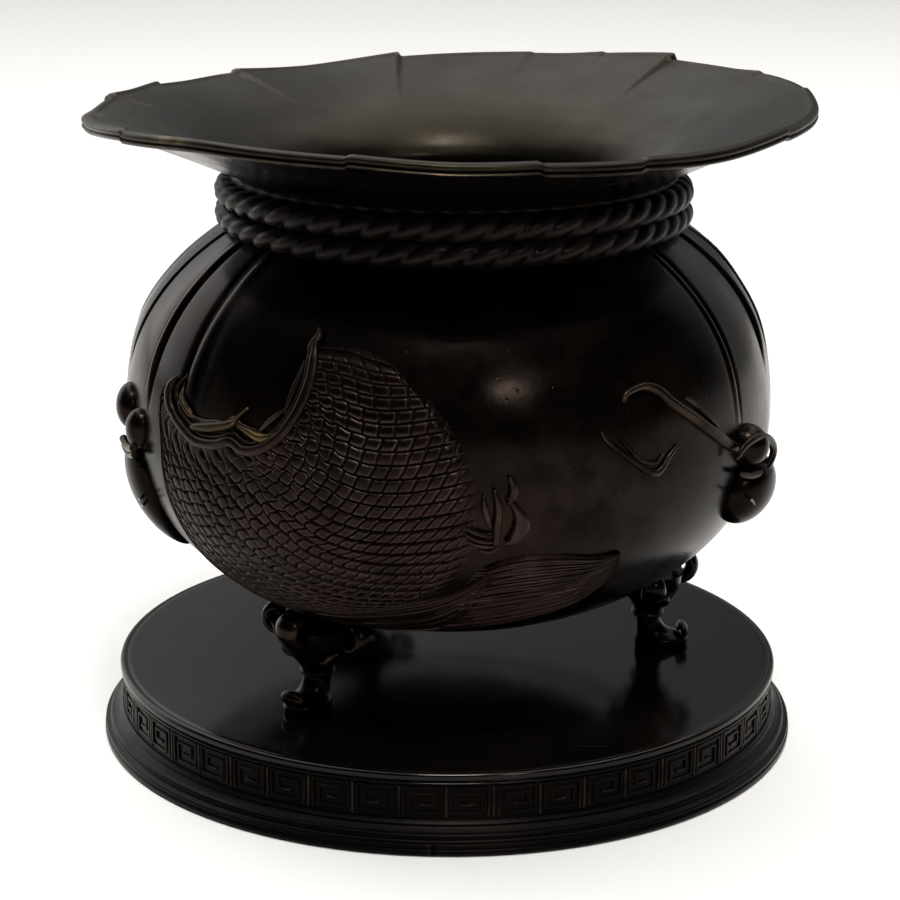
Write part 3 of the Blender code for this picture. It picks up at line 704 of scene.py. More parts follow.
def mouth_lift(azimuth, share):
    """How far the tilt, swells and pleats raise the sheet."""
    lift = mouth_tilt * np.cos(np.radians(azimuth - highest_azimuth)) * share ** swell_power
    for middle, rise, half in mouth_swells:
        near = smooth(1.0 - np.abs(angle_between(azimuth, middle)) / half)
        lift = lift + rise * near * share ** swell_power
    for middle, rise, width, side in mouth_pleats:
        along = angle_between(azimuth, middle + side * pleat_lean * (1.0 - share)) * side
        step = smooth((along + step_width / 2) / step_width)
        fall = (1.0 - np.clip(along, 0, width) / width) ** pleat_fall
        lift = lift + rise * step * fall * share ** pleat_power
    return lift


def mouth_rows(profile, azimuth):
    """Rows of the mouth from a profile of radius and height."""
    rows = []
    for radius, height in profile:
        share = float(mouth_share(radius))
        reach = radius - oval_inset * share * np.sin(np.radians(2 * azimuth)) ** 2
        reach = reach + edge_ripple * share * np.sin(np.radians(11 * azimuth + 40)) * share ** 3
        row = polar(reach, azimuth, height + mouth_lift(azimuth, share))
        row[:, 0] += neck_shift * (1.0 - min(share, 1.0))
        rows.append(row)
    return rows


# %% The mouth's profile
low_neck = neck_bottom + 0.0006
hem_start = rim_radius - hem_width
hem_base = float(under_mouth(hem_start))
under_radii = np.linspace(neck_radius, hem_start, 24)
dish_radii = np.linspace(rim_radius - 0.0040, 0.0880, 22)
# the hem's round section: how far inside the rim's radius and below its height
hem_section = (
    (0.0006, 0.0041), (0.0003, 0.0036), (0.0006, 0.0032), (0.0010, 0.00295), (0.0007, 0.0026),
    (0.0003, 0.0021), (0.0003, 0.0015), (0.0006, 0.0010), (0.0011, 0.0006), (0.0017, 0.0003),
    (0.0025, 0.0002), (0.0033, 0.0003),
)
# radius and height where the dish falls into the throat, rounds its lip and runs on below it
throat_line = (
    (0.0840, 0.1712), (0.0800, 0.1692), (0.0745, 0.1660), (0.0700, 0.1624), (0.0668, 0.1588),
    (0.0652, 0.1562), (0.0645, 0.1543), (0.0646, 0.1520), (0.0658, 0.1490), (0.0674, 0.1465),
)
dish_end = [(r, float(dish(r))) for r in (0.0920, 0.0880)]
funnel = sprung(dish_end + list(throat_line), 45)[5:]

profile = [(neck_radius - 0.0008, low_neck), (neck_radius - 0.0004, neck_top - 0.0015)]
profile += [(r, float(under_mouth(r))) for r in under_radii]
profile += [(hem_start + 0.0004, hem_base), (rim_radius - 0.0026, rim_height - 0.0040)]
profile += [(rim_radius - 0.0014, rim_height - 0.0043)]
profile += [(rim_radius - out, rim_height - down) for out, down in hem_section]
profile += [(r, float(dish(r))) for r in dish_radii]
profile += [tuple(place) for place in funnel] + [(throat_radius, low_neck)]
print("rows of the mouth:", len(profile))

# %% The mouth's closed grid
mouth_columns = 760
mouth_azimuths = np.linspace(0.0, 360.0, mouth_columns, endpoint=False)
rows = mouth_rows(profile, mouth_azimuths)
# azimuth, half width in degrees and amount of the places rubbed by hands
worn_places = (
    (-88.0, 9.0, 0.9), (-46.0, 6.0, 0.7), (-171.0, 2.0, 0.8), (-136.0, 2.5, 0.8), (132.0, 2.0, 0.5),
    (97.0, 3.0, 0.4),
)
rub = np.zeros((len(rows), mouth_columns))
for middle, half, amount in worn_places:
    near = smooth(1.0 - np.abs(angle_between(mouth_azimuths, middle)) / half)
    for k, (radius, _) in enumerate(profile):
        rub[k] = np.maximum(rub[k], amount * near * smooth((radius - rim_radius + 0.006) / 0.005))
mouth = piece("sack_mouth", np.stack(rows), grid_faces(len(rows), mouth_columns, looped=True), mouth_finish,
              wear=(3.0, 1), rub=rub)
print("mouth's edge", round(float(np.stack(rows)[..., 2].max()) * 1000, 1), "mm above the floor")

# %% The mouth's darker underside
faces_down = -0.2
mouth.data.materials.append(skin_finish)
tilt = np.empty(len(mouth.data.polygons) * 3)
mouth.data.polygons.foreach_get("normal", tilt)
is_under = tilt[2::3] < faces_down
mouth.data.polygons.foreach_set("material_index", is_under.astype(np.int32))
print("faces of the underside:", int(is_under.sum()))

# %% [markdown]
# ## The rope
# Two turns of three-strand rope lie side by side round the neck. Twisting real strands would need
# three tubes a turn. In a casting the strands are only grooves on a ring, so a ring whose radius
# rises and falls along slanted lines is closer to the real thing, and stays one closed body.

# %% Two turns of rope
lumps, strands = 51, 3
around, across = lumps * 12, 26
rope_size = 0.00425
lump_share = 0.28
lump_power = 0.6
second_phase = 1.9


def rope_turn(middle, phase):
    """One turn of rope whose radius rises and falls along slanted lines."""
    azimuth = np.linspace(0.0, 360.0, around, endpoint=False)[:, None]
    section = np.linspace(0.0, 2 * np.pi, across, endpoint=False)[None, :]
    wave = np.radians(azimuth) * lumps - strands * section + phase
    lump = np.abs(np.cos(wave / 2)) ** lump_power
    size = rope_size * (1.0 - lump_share + lump_share * lump)
    size = size + 0.00004 * np.sin(np.radians(azimuth) * 9 + phase)
    radius = neck_radius + 0.0003 + size * np.cos(section)
    slack = 0.00035 * np.sin(np.radians(2 * azimuth + 50 * phase))
    points = polar(radius, np.broadcast_to(azimuth, radius.shape), middle + slack + size * np.sin(section))
    points[..., 0] += neck_shift
    return points


turns = ((rope_low, 0.0), (rope_low + 2 * rope_radius, second_phase))
for number, (middle, phase) in enumerate(turns, 1):
    points = rope_turn(middle, phase)
    piece(f"rope_turn_{number}", points, grid_faces(around, across, looped=True), rope_finish, wear=(5.0, 2))

# %% [markdown]
# ## The straw cape
# The cape is a fan of straw strands that leave a round neck opening, sweep down and to the right,
# and are gathered by a tie. The engraver cut long lines between the strands and short ones across
# them. A patch stretched between the cape's four edges gives a grid whose columns are the strands,
# so each line follows the sweep, which a flat pattern laid over the belly could not do.

# %% The collar's line
# Places on the skin are azimuth and height.
collar_line = [
    (-52.4, 0.1090), (-54.2, 0.1045), (-53.0, 0.0992), (-49.4, 0.0950), (-45.5, 0.0920), (-41.0, 0.0925),
    (-37.5, 0.0945), (-34.7, 0.0928), (-31.4, 0.0941), (-27.8, 0.0989), (-25.2, 0.1064), (-24.0, 0.1139),
    (-24.0, 0.1195), (-24.8, 0.1262),
]
collar_centre = np.array([-38.5, 0.1150])
degree_length = belly_radius * math.pi / 180


def spot_on(curve, share):
    """Azimuth and height at a share of a curve's length over the skin."""
    line = sprung(curve, 600)
    steps = np.hypot(np.diff(line[:, 0]) * degree_length, np.diff(line[:, 1]))
    run = np.concatenate([[0.0], np.cumsum(steps)]) / steps.sum()
    return np.stack([np.interp(share, run, line[:, 0]), np.interp(share, run, line[:, 1])], -1)


def collar_spot(share, inward=0.0):
    """A place on the collar's line, moved some way towards its centre."""
    place = spot_on(collar_line, share)
    off = (collar_centre - place) * [degree_length, 1.0]
    off = off / np.linalg.norm(off, axis=-1, keepdims=True)
    return place + off * np.asarray(inward)[..., None] / [degree_length, 1.0]


# %% A patch between four edge curves
def patch(low_edge, high_edge, start_edge, end_edge, k, t):
    """Coons patch: low and high edges run along t, start and end edges run across k."""
    k, t = np.broadcast_arrays(k, t)
    low, high = spot_on(low_edge, t), spot_on(high_edge, t)
    start, end = spot_on(start_edge, k), spot_on(end_edge, k)
    k, t = k[..., None], t[..., None]
    first, last = np.array(low_edge), np.array(high_edge)
    corners = (1 - k) * ((1 - t) * first[0] + t * first[-1]) + k * ((1 - t) * last[0] + t * last[-1])
    return (1 - k) * low + k * high + (1 - t) * start + t * end - corners


def relief(name, plan, lift, material, sink=0.0010, wear=(6.0, 1)):
    """A sheet over the skin whose edges turn down into the wall."""
    top = skin(plan[..., 0], plan[..., 1], lift)
    rows, columns = plan.shape[:2]
    count = rows * columns
    index = np.arange(count).reshape(rows, columns)
    loop = np.concatenate([index[0], index[1:, -1], index[-1, -2::-1], index[-2:0:-1, 0]])
    skirt = skin(plan[..., 0], plan[..., 1], -sink).reshape(-1, 3)[loop]
    low = count + np.arange(len(loop))
    walls = np.stack([np.roll(loop, -1), loop, low, np.roll(low, -1)], -1)
    points = np.concatenate([top.reshape(-1, 3), skirt])
    faces = np.concatenate([grid_faces(rows, columns, 0, closed=False), walls])
    return piece(name, points, faces, material, wear=wear)


# %% The cape's outline
cape_low = [
    collar_line[0], (-55.6, 0.1045), (-55.6, 0.0970), (-55.0, 0.0885), (-55.2, 0.0753), (-55.0, 0.0675),
    (-53.6, 0.0552), (-51.0, 0.0462), (-46.0, 0.0400), (-38.0, 0.0375), (-24.0, 0.0400),
]
cape_end = [
    (-24.0, 0.0400), (-13.0, 0.0430), (-5.0, 0.0475), (1.0, 0.0540), (4.0, 0.0620), (5.0, 0.0700),
    (5.5, 0.0800), (4.5, 0.0900), (2.0, 0.1010), (-3.0, 0.1120), (-11.0, 0.1225),
]
cape_high = [collar_line[-1], (-18.0, 0.1265), (-11.0, 0.1225)]
cape_strands, strand_points, course_points = 32, 8, 300
k = np.linspace(0, 1, cape_strands * strand_points + 1)[:, None]
t = np.linspace(0, 1, course_points)[None, :]
strand = k * cape_strands
lozenge = 0.22 * (1.0 - smooth(t * 1.3)) * smooth(k * 14) * smooth((1 - k) * 3)
waved = k + lozenge / cape_strands * np.sin(np.pi * (strand + 2 * 7.0 * t))
cape_plan = patch(cape_low, cape_high, collar_line, cape_end, waved, t + 0 * k)
print("grid of the cape:", cape_plan.shape[:2])

# %% The cuts between and across the strands
groove_half = 0.085
which = np.minimum(np.floor(strand), cape_strands - 1).astype(int)
inside_strand = strand - np.floor(strand)
groove = np.exp(-((np.minimum(inside_strand, 1 - inside_strand)) / groove_half) ** 2)
length = np.linalg.norm(np.diff(skin(cape_plan[..., 0], cape_plan[..., 1]), axis=1), axis=-1)
run = np.concatenate([np.zeros((len(k), 1)), np.cumsum(length, axis=1)], axis=1)
rng = np.random.default_rng(7)
shift = rng.uniform(-0.16, 0.16, cape_strands + 2)
spacing = 0.0038 + 0.0012 * smooth((k - 0.45) * 2)
course = run / spacing + 0.5 * (which % 2) + shift[which] + 0.30 * (inside_strand - 0.5)
within = course - np.floor(course)
cut_across = np.exp(-((np.minimum(within, 1 - within)) / groove_half) ** 2)
cut_across = cut_across * smooth((t - 0.05) * 6) * smooth((strand - 1.0) * 2)
print("courses along the longest strand:", int(course.max()))

# %% The straw cape
cape_rise, cape_crown, cape_step, cape_cut = 0.00175, 0.00030, 0.00012, 0.00070
roll_rise = 0.00235
edge_sink = 0.0004
rounded = np.sin(np.pi * inside_strand) ** 0.45
roll = np.exp(-((strand - 0.55) / 0.42) ** 2)
border = smooth(np.minimum(np.minimum(k * 90, (1 - k) * 14), np.minimum(t * 60, (1 - t) * 12)))
flat_top = smooth((k - 0.80) * 5) * 0.45
carved = cape_crown * rounded + cape_step * (within - 0.5) - cape_cut * np.maximum(groove, 0.9 * cut_across)
cape_lift = cape_rise + carved * (1 - flat_top)
cape_lift = cape_lift * (1 - roll) + roll_rise * roll
cape_lift = -edge_sink + (cape_lift + edge_sink) * (0.10 + 0.90 * border)
relief("straw_cape", cape_plan, cape_lift, straw_finish)

# %% [markdown]
# ## The straw fringe
# Below the cape hangs a fringe of finer straw that is swept to a point on the right. The same kind
# of patch makes it, with more and thinner strands of uneven length and no cross cuts.

# %% The fringe's two bundles
bundle_sink = 0.0006
bundle_cut = 0.00060


def bundle(name, low, high, strands, rise, sweep):
    """Fine straw between two edges; sweep is how fast it rises from its start."""
    k = np.linspace(0, 1, strands * 6 + 1)[:, None]
    t = np.linspace(0, 1, 180)[None, :]
    strand = k * strands
    which = np.floor(strand)
    wander = 0.30 * np.sin(2 * np.pi * t * 1.7 + 2.6 * which) * np.sin(np.pi * k) * (1 - t) / strands
    plan = patch(low, high, [low[0], high[0]], [low[-1], high[-1]], k + wander, t + 0 * k)
    inside = strand - which
    level = rng.uniform(-0.00025, 0.00025, strands + 1)[np.minimum(which, strands).astype(int)]
    cut = np.exp(-(np.minimum(inside, 1 - inside) / 0.13) ** 2)
    border = smooth(np.minimum(np.minimum(k, 1 - k) * strands * 1.2, np.minimum(t * sweep, (1 - t) * 30)))
    lift = rise + 0.00030 * np.sin(np.pi * inside) ** 0.6 + level - bundle_cut * cut
    lift = -bundle_sink + (lift + bundle_sink) * (0.20 + 0.80 * border)
    return relief(name, plan, lift, straw_finish)


fringe_low = [(-52.0, 0.0370), (-45.0, 0.0310), (-29.0, 0.0290), (-14.0, 0.0295), (-2.0, 0.0330),
              (5.0, 0.0450), (8.6, 0.0600)]
fringe_high = [(-52.0, 0.0415), (-40.0, 0.0380), (-24.0, 0.0405), (-10.0, 0.0465), (2.0, 0.0535),
               (8.5, 0.0630)]
tail_low = [(-8.0, 0.0298), (6.0, 0.0325), (17.0, 0.0365), (25.0, 0.0410), (29.0, 0.0470),
            (31.0, 0.0540), (31.8, 0.0600)]
tail_high = [(5.0, 0.0600), (11.0, 0.0640), (19.0, 0.0640), (27.0, 0.0615), (31.6, 0.0612)]
bundle("straw_fringe", fringe_low, fringe_high, 11, 0.0013, 40)
bundle("straw_tail", tail_low, tail_high, 24, 0.0011, 9)

# %% [markdown]
# ## The collar and its ribbon
# A rounded band edges the cape's neck opening, and a ribbon ruffles in and out inside it. Both are
# tubes laid on the skin: the band is flattened, and the ribbon's path waves. Gilt traces are left
# on three leaves of the ribbon, and the straw tie beside the cape is made from the same leaves.


# %% Cords and bands laid on the skin
def on_skin(plan, lift):
    return skin(np.asarray(plan)[:, 0], np.asarray(plan)[:, 1], lift)


def skin_up(plan):
    rise = on_skin(plan, 0.002) - on_skin(plan, 0.0)
    return rise / np.linalg.norm(rise, axis=1, keepdims=True)


def laid_tube(plan, lift, radii, sides=12, flat=1.0):
    return tube(on_skin(plan, lift), radii, sides, flat, skin_up(plan))


share = np.linspace(0.0, 1.0, 190)
taper = smooth(np.minimum(share, 1 - share) * 14) * 0.75 + 0.25
bands = [laid_tube(collar_spot(share), 0.0019, 0.0016 * taper, 14, 0.75),
         laid_tube(collar_spot(share, 0.0024), 0.0007, 0.0008 * taper, 10)]
piece("cape_collar", *joined(bands), straw_finish, wear=(4.0, 2))

# %% Leaves of the ribbon
leaf_points = 41


def leaf(spine, widths, lift, rise, sides=15):
    """A pointed, folded leaf of ribbon along a spine on the skin."""
    plan = sprung(spine, leaf_points)
    share = np.linspace(0, 1, leaf_points)
    width = np.interp(share, np.linspace(0, 1, len(widths)), widths)
    base, up = on_skin(plan, lift), skin_up(plan)
    run = np.gradient(base, axis=0)
    side = np.cross(run / np.linalg.norm(run, axis=1, keepdims=True), up)
    turned = np.linspace(0, 2 * np.pi, sides, endpoint=False)
    lip = rise * np.sin(np.pi * share) ** 0.6 + 0.0002
    out = side[:, None] * (width[:, None] * np.cos(turned))[..., None]
    return base[:, None] + out + up[:, None] * (lip[:, None] * np.sin(turned))[..., None]


# spine, half widths along it, lift and rise of each leaf
ribbon_leaves = (
    ([(-47.6, 0.0946), (-46.4, 0.0956), (-42.3, 0.0970), (-38.1, 0.0993), (-36.8, 0.1014), (-34.9, 0.1050)],
     (0.0003, 0.0014, 0.0017, 0.0014, 0.0006, 0.0003), 0.0010, 0.0013),
    ([(-36.8, 0.0998), (-33.8, 0.0982), (-31.4, 0.0972), (-28.8, 0.0990)],
     (0.0003, 0.0013, 0.0016, 0.0003), 0.0011, 0.0014),
    ([(-52.0, 0.1052), (-50.4, 0.1020), (-48.2, 0.0990), (-46.8, 0.0985)],
     (0.0003, 0.0009, 0.0010, 0.0003), 0.0007, 0.0010),
)
piece("gilt_ribbon", *joined([leaf(*values) for values in ribbon_leaves]), gilt_finish, wear=(3.0, 2))

# %% The ruffle inside the collar
# start and end along the collar, distance inward and swing of each wave
ruffle_waves = (
    (0.05, 0.24, 0.0044, 0.0014), (0.22, 0.44, 0.0054, 0.0018), (0.42, 0.60, 0.0056, 0.0016),
    (0.58, 0.76, 0.0042, 0.0016), (0.74, 0.94, 0.0038, 0.0010),
)
waves = []
for start, end, inward, swing in ruffle_waves:
    share = np.linspace(start, end, 46)
    swell = np.sin(np.pi * np.linspace(0, 1, 46))
    path = collar_spot(share, inward + swing * swell)
    waves.append(laid_tube(path, 0.0006, 0.0009 * (0.35 + 0.65 * swell), 10))
curl = sprung([(-24.8, 0.1285), (-24.4, 0.1268), (-25.3, 0.1230), (-24.2, 0.1190)], 40)
waves.append(laid_tube(curl, 0.0016, 0.0011 * (0.3 + 0.7 * np.sin(np.pi * np.linspace(0, 1, 40))), 10))
piece("collar_ruffle", *joined(waves), straw_finish, wear=(4.0, 1))

# %% The tie that gathers the straw
tie_leaves = (
    ([(9.4, 0.0840), (11.0, 0.0800), (11.9, 0.0755), (10.9, 0.0712), (9.3, 0.0696)],
     (0.0004, 0.0014, 0.0026, 0.0020, 0.0005), 0.0012, 0.0018),
    ([(9.6, 0.0900), (10.4, 0.0875), (10.3, 0.0845), (9.4, 0.0820)],
     (0.0004, 0.0013, 0.0013, 0.0004), 0.0012, 0.0013),
    ([(7.3, 0.0865), (8.0, 0.0815), (7.9, 0.0750), (7.7, 0.0690)],
     (0.0005, 0.0012, 0.0013, 0.0007), 0.0014, 0.0014),
    ([(5.6, 0.0850), (5.9, 0.0810), (6.4, 0.0775), (7.0, 0.0745)],
     (0.0003, 0.0011, 0.0011, 0.0004), 0.0013, 0.0012),
)
tie_strokes = (
    [(1.6, 0.0772), (3.4, 0.0745), (5.4, 0.0728), (7.2, 0.0722)],
    [(2.2, 0.0742), (4.0, 0.0718), (5.8, 0.0706), (7.4, 0.0703)],
    [(3.2, 0.0708), (4.8, 0.0695), (6.4, 0.0690), (7.6, 0.0690)],
    [(5.0, 0.0680), (6.2, 0.0674), (7.3, 0.0677), (8.2, 0.0690)],
)
tie = [leaf(*values) for values in tie_leaves]
tie += [leaf(spine, (0.0002, 0.0006, 0.0006, 0.0003), 0.0014, 0.0007, 9) for spine in tie_strokes]
piece("straw_tie", *joined(tie), straw_finish, wear=(4.0, 1))

# %% [markdown]
# ## Small lucky things in relief
# On the right a cord hooks over and runs down to a round purse, and a folded tip lies before it.
# On the left hangs a long bag with a ruffled top. These are soft swellings: a ball flattened on
# the skin, with its own profile. Seams and knots are thin tubes added over them.


# %% Rounded swellings on the skin
def swelling(place, half_width, half_height, lift, rows=34, sides=44, lean=0.0, taper=0.0, square=2.0):
    """A ball laid on the skin; taper narrows its top, lean turns it, square fills its corners."""
    fall = np.linspace(0.06, np.pi * 0.62, rows)[:, None]
    turned = np.linspace(0, 2 * np.pi, sides, endpoint=False)[None, :]
    out = np.sin(fall)
    x = np.sign(np.cos(turned)) * np.abs(np.cos(turned)) ** (2 / square) * out
    y = np.sign(np.sin(turned)) * np.abs(np.sin(turned)) ** (2 / square) * out
    x = x * (1.0 - taper * y)
    along = half_width * x * math.cos(lean) - half_height * y * math.sin(lean)
    up = half_width * x * math.sin(lean) + half_height * y * math.cos(lean)
    azimuth, height = beside(place, along, up)
    level = lift * np.cos(fall)
    return skin(azimuth, height, np.maximum(level, -0.0014) + 0 * turned)


def pointed(count, start=0.0, end=1.0, thin=0.35):
    """Thickness along a cord that is thin at both ends and full in its middle."""
    return thin + (1.0 - thin) * np.sin(np.pi * np.linspace(start, end, count))


# %% The purse's cords
long_cord = sprung([(29.6, 0.1085), (30.7, 0.1108), (34.2, 0.1120), (37.1, 0.1099), (39.5, 0.1060),
                    (44.2, 0.1002), (49.8, 0.0933), (55.5, 0.0869), (60.0, 0.0835)], 120)
short_cord = sprung([(43.0, 0.1060), (44.2, 0.1049), (47.6, 0.1000), (51.0, 0.0950)], 40)
share = np.linspace(0, 1, 120)
cords = [laid_tube(long_cord, 0.0006, 0.0008 + 0.0009 * smooth(share * 2.0), 12),
         laid_tube(short_cord, 0.0003, 0.0009 * pointed(40, 0.05, 0.95, 0.3), 10)]
piece("purse_cord", *joined(cords), skin_finish, wear=(4.0, 2))

# %% The round purse
neck_loop = sprung([(54.6, 0.0836), (56.6, 0.0872), (61.0, 0.0880), (65.6, 0.0846), (67.6, 0.0800),
                    (65.0, 0.0762), (60.0, 0.0764), (56.4, 0.0785)], 80)
seam = sprung([(58.2, 0.0712), (60.4, 0.0690), (62.6, 0.0662), (63.8, 0.0634)], 40)
bow = np.sin(np.pi * np.linspace(0, 1, 80))
purse = [swelling((65.5, 0.0690), 0.0135, 0.0112, 0.0088, lean=0.10, taper=0.05, square=2.2),
         swelling((61.8, 0.0845), 0.0066, 0.0068, 0.0072, rows=22, sides=32, lean=0.3),
         laid_tube(neck_loop, 0.0030 + 0.0026 * bow, 0.0006 + 0.0009 * bow ** 0.5, 12, 0.8),
         laid_tube(seam, 0.0066, 0.0006, 8)]
piece("round_purse", *joined(purse), skin_finish, wear=(4.0, 2))

# %% The folded tip
tip_lines = (
    ([(25.4, 0.1010), (26.5, 0.0979), (29.8, 0.0930), (34.5, 0.0868), (36.6, 0.0862), (38.7, 0.0901),
      (40.5, 0.0929)], 0.0012),
    ([(29.0, 0.0975), (30.3, 0.0953), (32.8, 0.0907), (35.9, 0.0892), (37.4, 0.0912)], 0.0008),
)
tip = [laid_tube(sprung(spine, 80), 0.0004, size * pointed(80, 0.03, 0.97), 12, 0.8)
       for spine, size in tip_lines]
piece("folded_tip", *joined(tip), skin_finish, wear=(4.0, 2))

# %% The long bag with its ruffled top
bag = [swelling((-72.0, 0.0625), 0.0096, 0.0205, 0.0052, lean=-0.10, taper=-0.15, square=2.1),
       swelling((-74.0, 0.0905), 0.0062, 0.0074, 0.0046, rows=20, sides=28, lean=0.30),
       swelling((-67.0, 0.0862), 0.0056, 0.0070, 0.0044, rows=20, sides=28, lean=-0.30)]
for height, width in ((0.0806, 0.0013), (0.0784, 0.0010)):
    plan = sprung([(-72.0, height + 0.0006), (-70.0, height - 0.0004), (-68.0, height - 0.0006),
                   (-65.5, height + 0.0006)], 44)
    bag.append(laid_tube(plan, 0.0034, width, 10))
for height in (0.0632, 0.0612):
    plan = sprung([(-76.0, height + 0.0012), (-73.4, height - 0.0004), (-70.5, height - 0.0002),
                   (-67.0, height + 0.0018)], 44)
    bag.append(laid_tube(plan, 0.0044, 0.0005, 8))
piece("long_bag", *joined(bag), skin_finish, wear=(4.0, 2))

# %% [markdown]
# ## The scrolled feet
# Each foot is a short cabriole leg: wide where it springs from the belly, thin at the ankle, with
# a rolled toe. Leaves curl out below the knee. The leg is a stack of rounded rings, and every
# leaf is a flattened tube that follows a spiral.

# %% The leg's rings
foot_azimuths = (-37.5, 92.0, -152.0)
ankle_radius = 0.0670
# height, how far out from the ankle's line, half depth, half width
leg_rings = (
    (0.0000, 0.0050, 0.0082, 0.0058), (0.0005, 0.0051, 0.0090, 0.0065), (0.0022, 0.0050, 0.0090, 0.0066),
    (0.0036, 0.0038, 0.0076, 0.0056), (0.0052, 0.0020, 0.0055, 0.0048), (0.0080, 0.0008, 0.0044, 0.0044),
    (0.0110, 0.0002, 0.0043, 0.0046), (0.0140, 0.0004, 0.0056, 0.0062), (0.0168, 0.0006, 0.0076, 0.0088),
    (0.0195, 0.0006, 0.0094, 0.0112), (0.0225, 0.0004, 0.0108, 0.0134), (0.0270, 0.0000, 0.0122, 0.0154),
)
knee_height = 0.0205
toe_out = 0.0105
toe_height = 0.0024
up = np.array([0.0, 0.0, 1.0])


def foot_frame(azimuth):
    outward = polar(1.0, azimuth, -sole_plane)
    return outward, np.cross([0.0, 0.0, 1.0], outward)


def leg(azimuth, count=56, sides=36):
    """Rounded rings stacked from the sole to the belly."""
    outward, sideways = foot_frame(azimuth)
    turned = np.linspace(0, 2 * np.pi, sides, endpoint=False)
    rows = []
    for height, out, depth, width in sprung(leg_rings, count):
        flute = 1.0 - 0.07 * np.cos(4 * turned) * smooth((height - 0.004) / 0.008)
        middle = outward * (ankle_radius + out) + np.array([0, 0, sole_plane + max(height, 0.0)])
        deep = outward * (depth * flute * np.cos(turned))[:, None]
        wide = sideways * (width * flute * np.sin(turned))[:, None]
        rows.append(middle + deep + wide)
    return np.stack(rows)


def scroll(base, run, across, size, turns, thick, wide, count=64, start=0.0):
    """A leaf that leaves base along run and rolls up into a spiral; wide is its width across."""
    share = np.linspace(0, 1, count)
    angle = start + turns * 2 * np.pi * share ** 1.15
    radius = size * (1.0 - 0.80 * share)
    centre = base + run * size * 0.15
    step = radius[:, None] * turns * 2 * np.pi / count
    flat = np.cumsum(np.stack([np.cos(angle), np.sin(angle)], -1) * step, axis=0)
    route = centre + run * flat[:, :1] + up * flat[:, 1:]
    tangent = np.gradient(route, axis=0)
    tangent /= np.linalg.norm(tangent, axis=1, keepdims=True)
    normal = np.cross(tangent, across)
    turned = np.linspace(0, 2 * np.pi, 14, endpoint=False)
    shape = (0.55 + 0.45 * np.sin(np.pi * np.clip(share * 1.15, 0, 1)) ** 0.7)
    end = 1.0 - 0.35 * share
    out = across[None, None] * (wide * shape * end)[:, None, None] * np.cos(turned)[None, :, None]
    out = out + normal[:, None] * (thick * shape)[:, None, None] * np.sin(turned)[None, :, None]
    return route[:, None] + out


def ankle_ring(outward, sideways):
    """A thin ring round the ankle."""
    height = sole_plane + leg_rings[6][0]
    route = []
    for turn in np.linspace(0, 2 * math.pi, 49):
        deep = outward * (ankle_radius + 0.0003 + 0.0046 * math.cos(turn))
        route.append(deep + sideways * 0.0048 * math.sin(turn) + up * height)
    return tube(route, 0.0009, 10)


# %% The three feet
for number, azimuth in enumerate(foot_azimuths, 1):
    outward, sideways = foot_frame(azimuth)
    knee = outward * ankle_radius + up * (sole_plane + knee_height)
    toe = outward * (ankle_radius + toe_out) + up * (sole_plane + toe_height)
    parts = [leg(azimuth)]
    for direction in (-1, 1):
        run = sideways * direction
        high = knee + run * 0.0095 + up * 0.0030
        low = knee + run * 0.0028 - up * 0.0020 + outward * 0.004
        parts.append(scroll(high, run, outward, 0.0054, 0.92, 0.0023, 0.0048, start=-0.75))
        parts.append(scroll(low, run, outward, 0.0036, 0.85, 0.0014, 0.0030, start=-1.0))
    front = knee + outward * 0.0060 + up * 0.0024
    parts.append(scroll(front, outward, sideways, 0.0060, 0.90, 0.0022, 0.0050, start=-0.20))
    parts.append(scroll(toe, outward, sideways, 0.0022, 0.85, 0.0013, 0.0052, count=44, start=0.2))
    parts.append(ankle_ring(outward, sideways))
    piece(f"foot_{number}", *joined(parts), foot_finish, wear=(4.0, 2))

# %% [markdown]
# ## The round stand
# A turned plate with a polished top, a bead, a sunk band with a key fret, and a stepped flange at
# its foot. Its profile is a list of corners. Rounding each corner by a small arc is what catches
# the thin lines of light on real mouldings, so a helper does that before the profile is turned.
# The side is duller than the polished top, so its faces get a finish of their own.

# %% Rounded corners of a turned profile
def rounded_corners(corners, steps=4):
    """Each corner is (x, y, radius of its rounding)."""
    line = []
    for k, (x, y, size) in enumerate(corners):
        here = np.array([x, y])
        if size == 0 or k in (0, len(corners) - 1):
            line.append(here)
            continue
        before = np.array(corners[k - 1][:2]) - here
        after = np.array(corners[k + 1][:2]) - here
        size = min(size, 0.45 * np.linalg.norm(before), 0.45 * np.linalg.norm(after))
        a = here + before / np.linalg.norm(before) * size
        b = here + after / np.linalg.norm(after) * size
        for t in np.linspace(0, 1, steps + 1):
            line.append((1 - t) ** 2 * a + 2 * t * (1 - t) * here + t ** 2 * b)
    return line


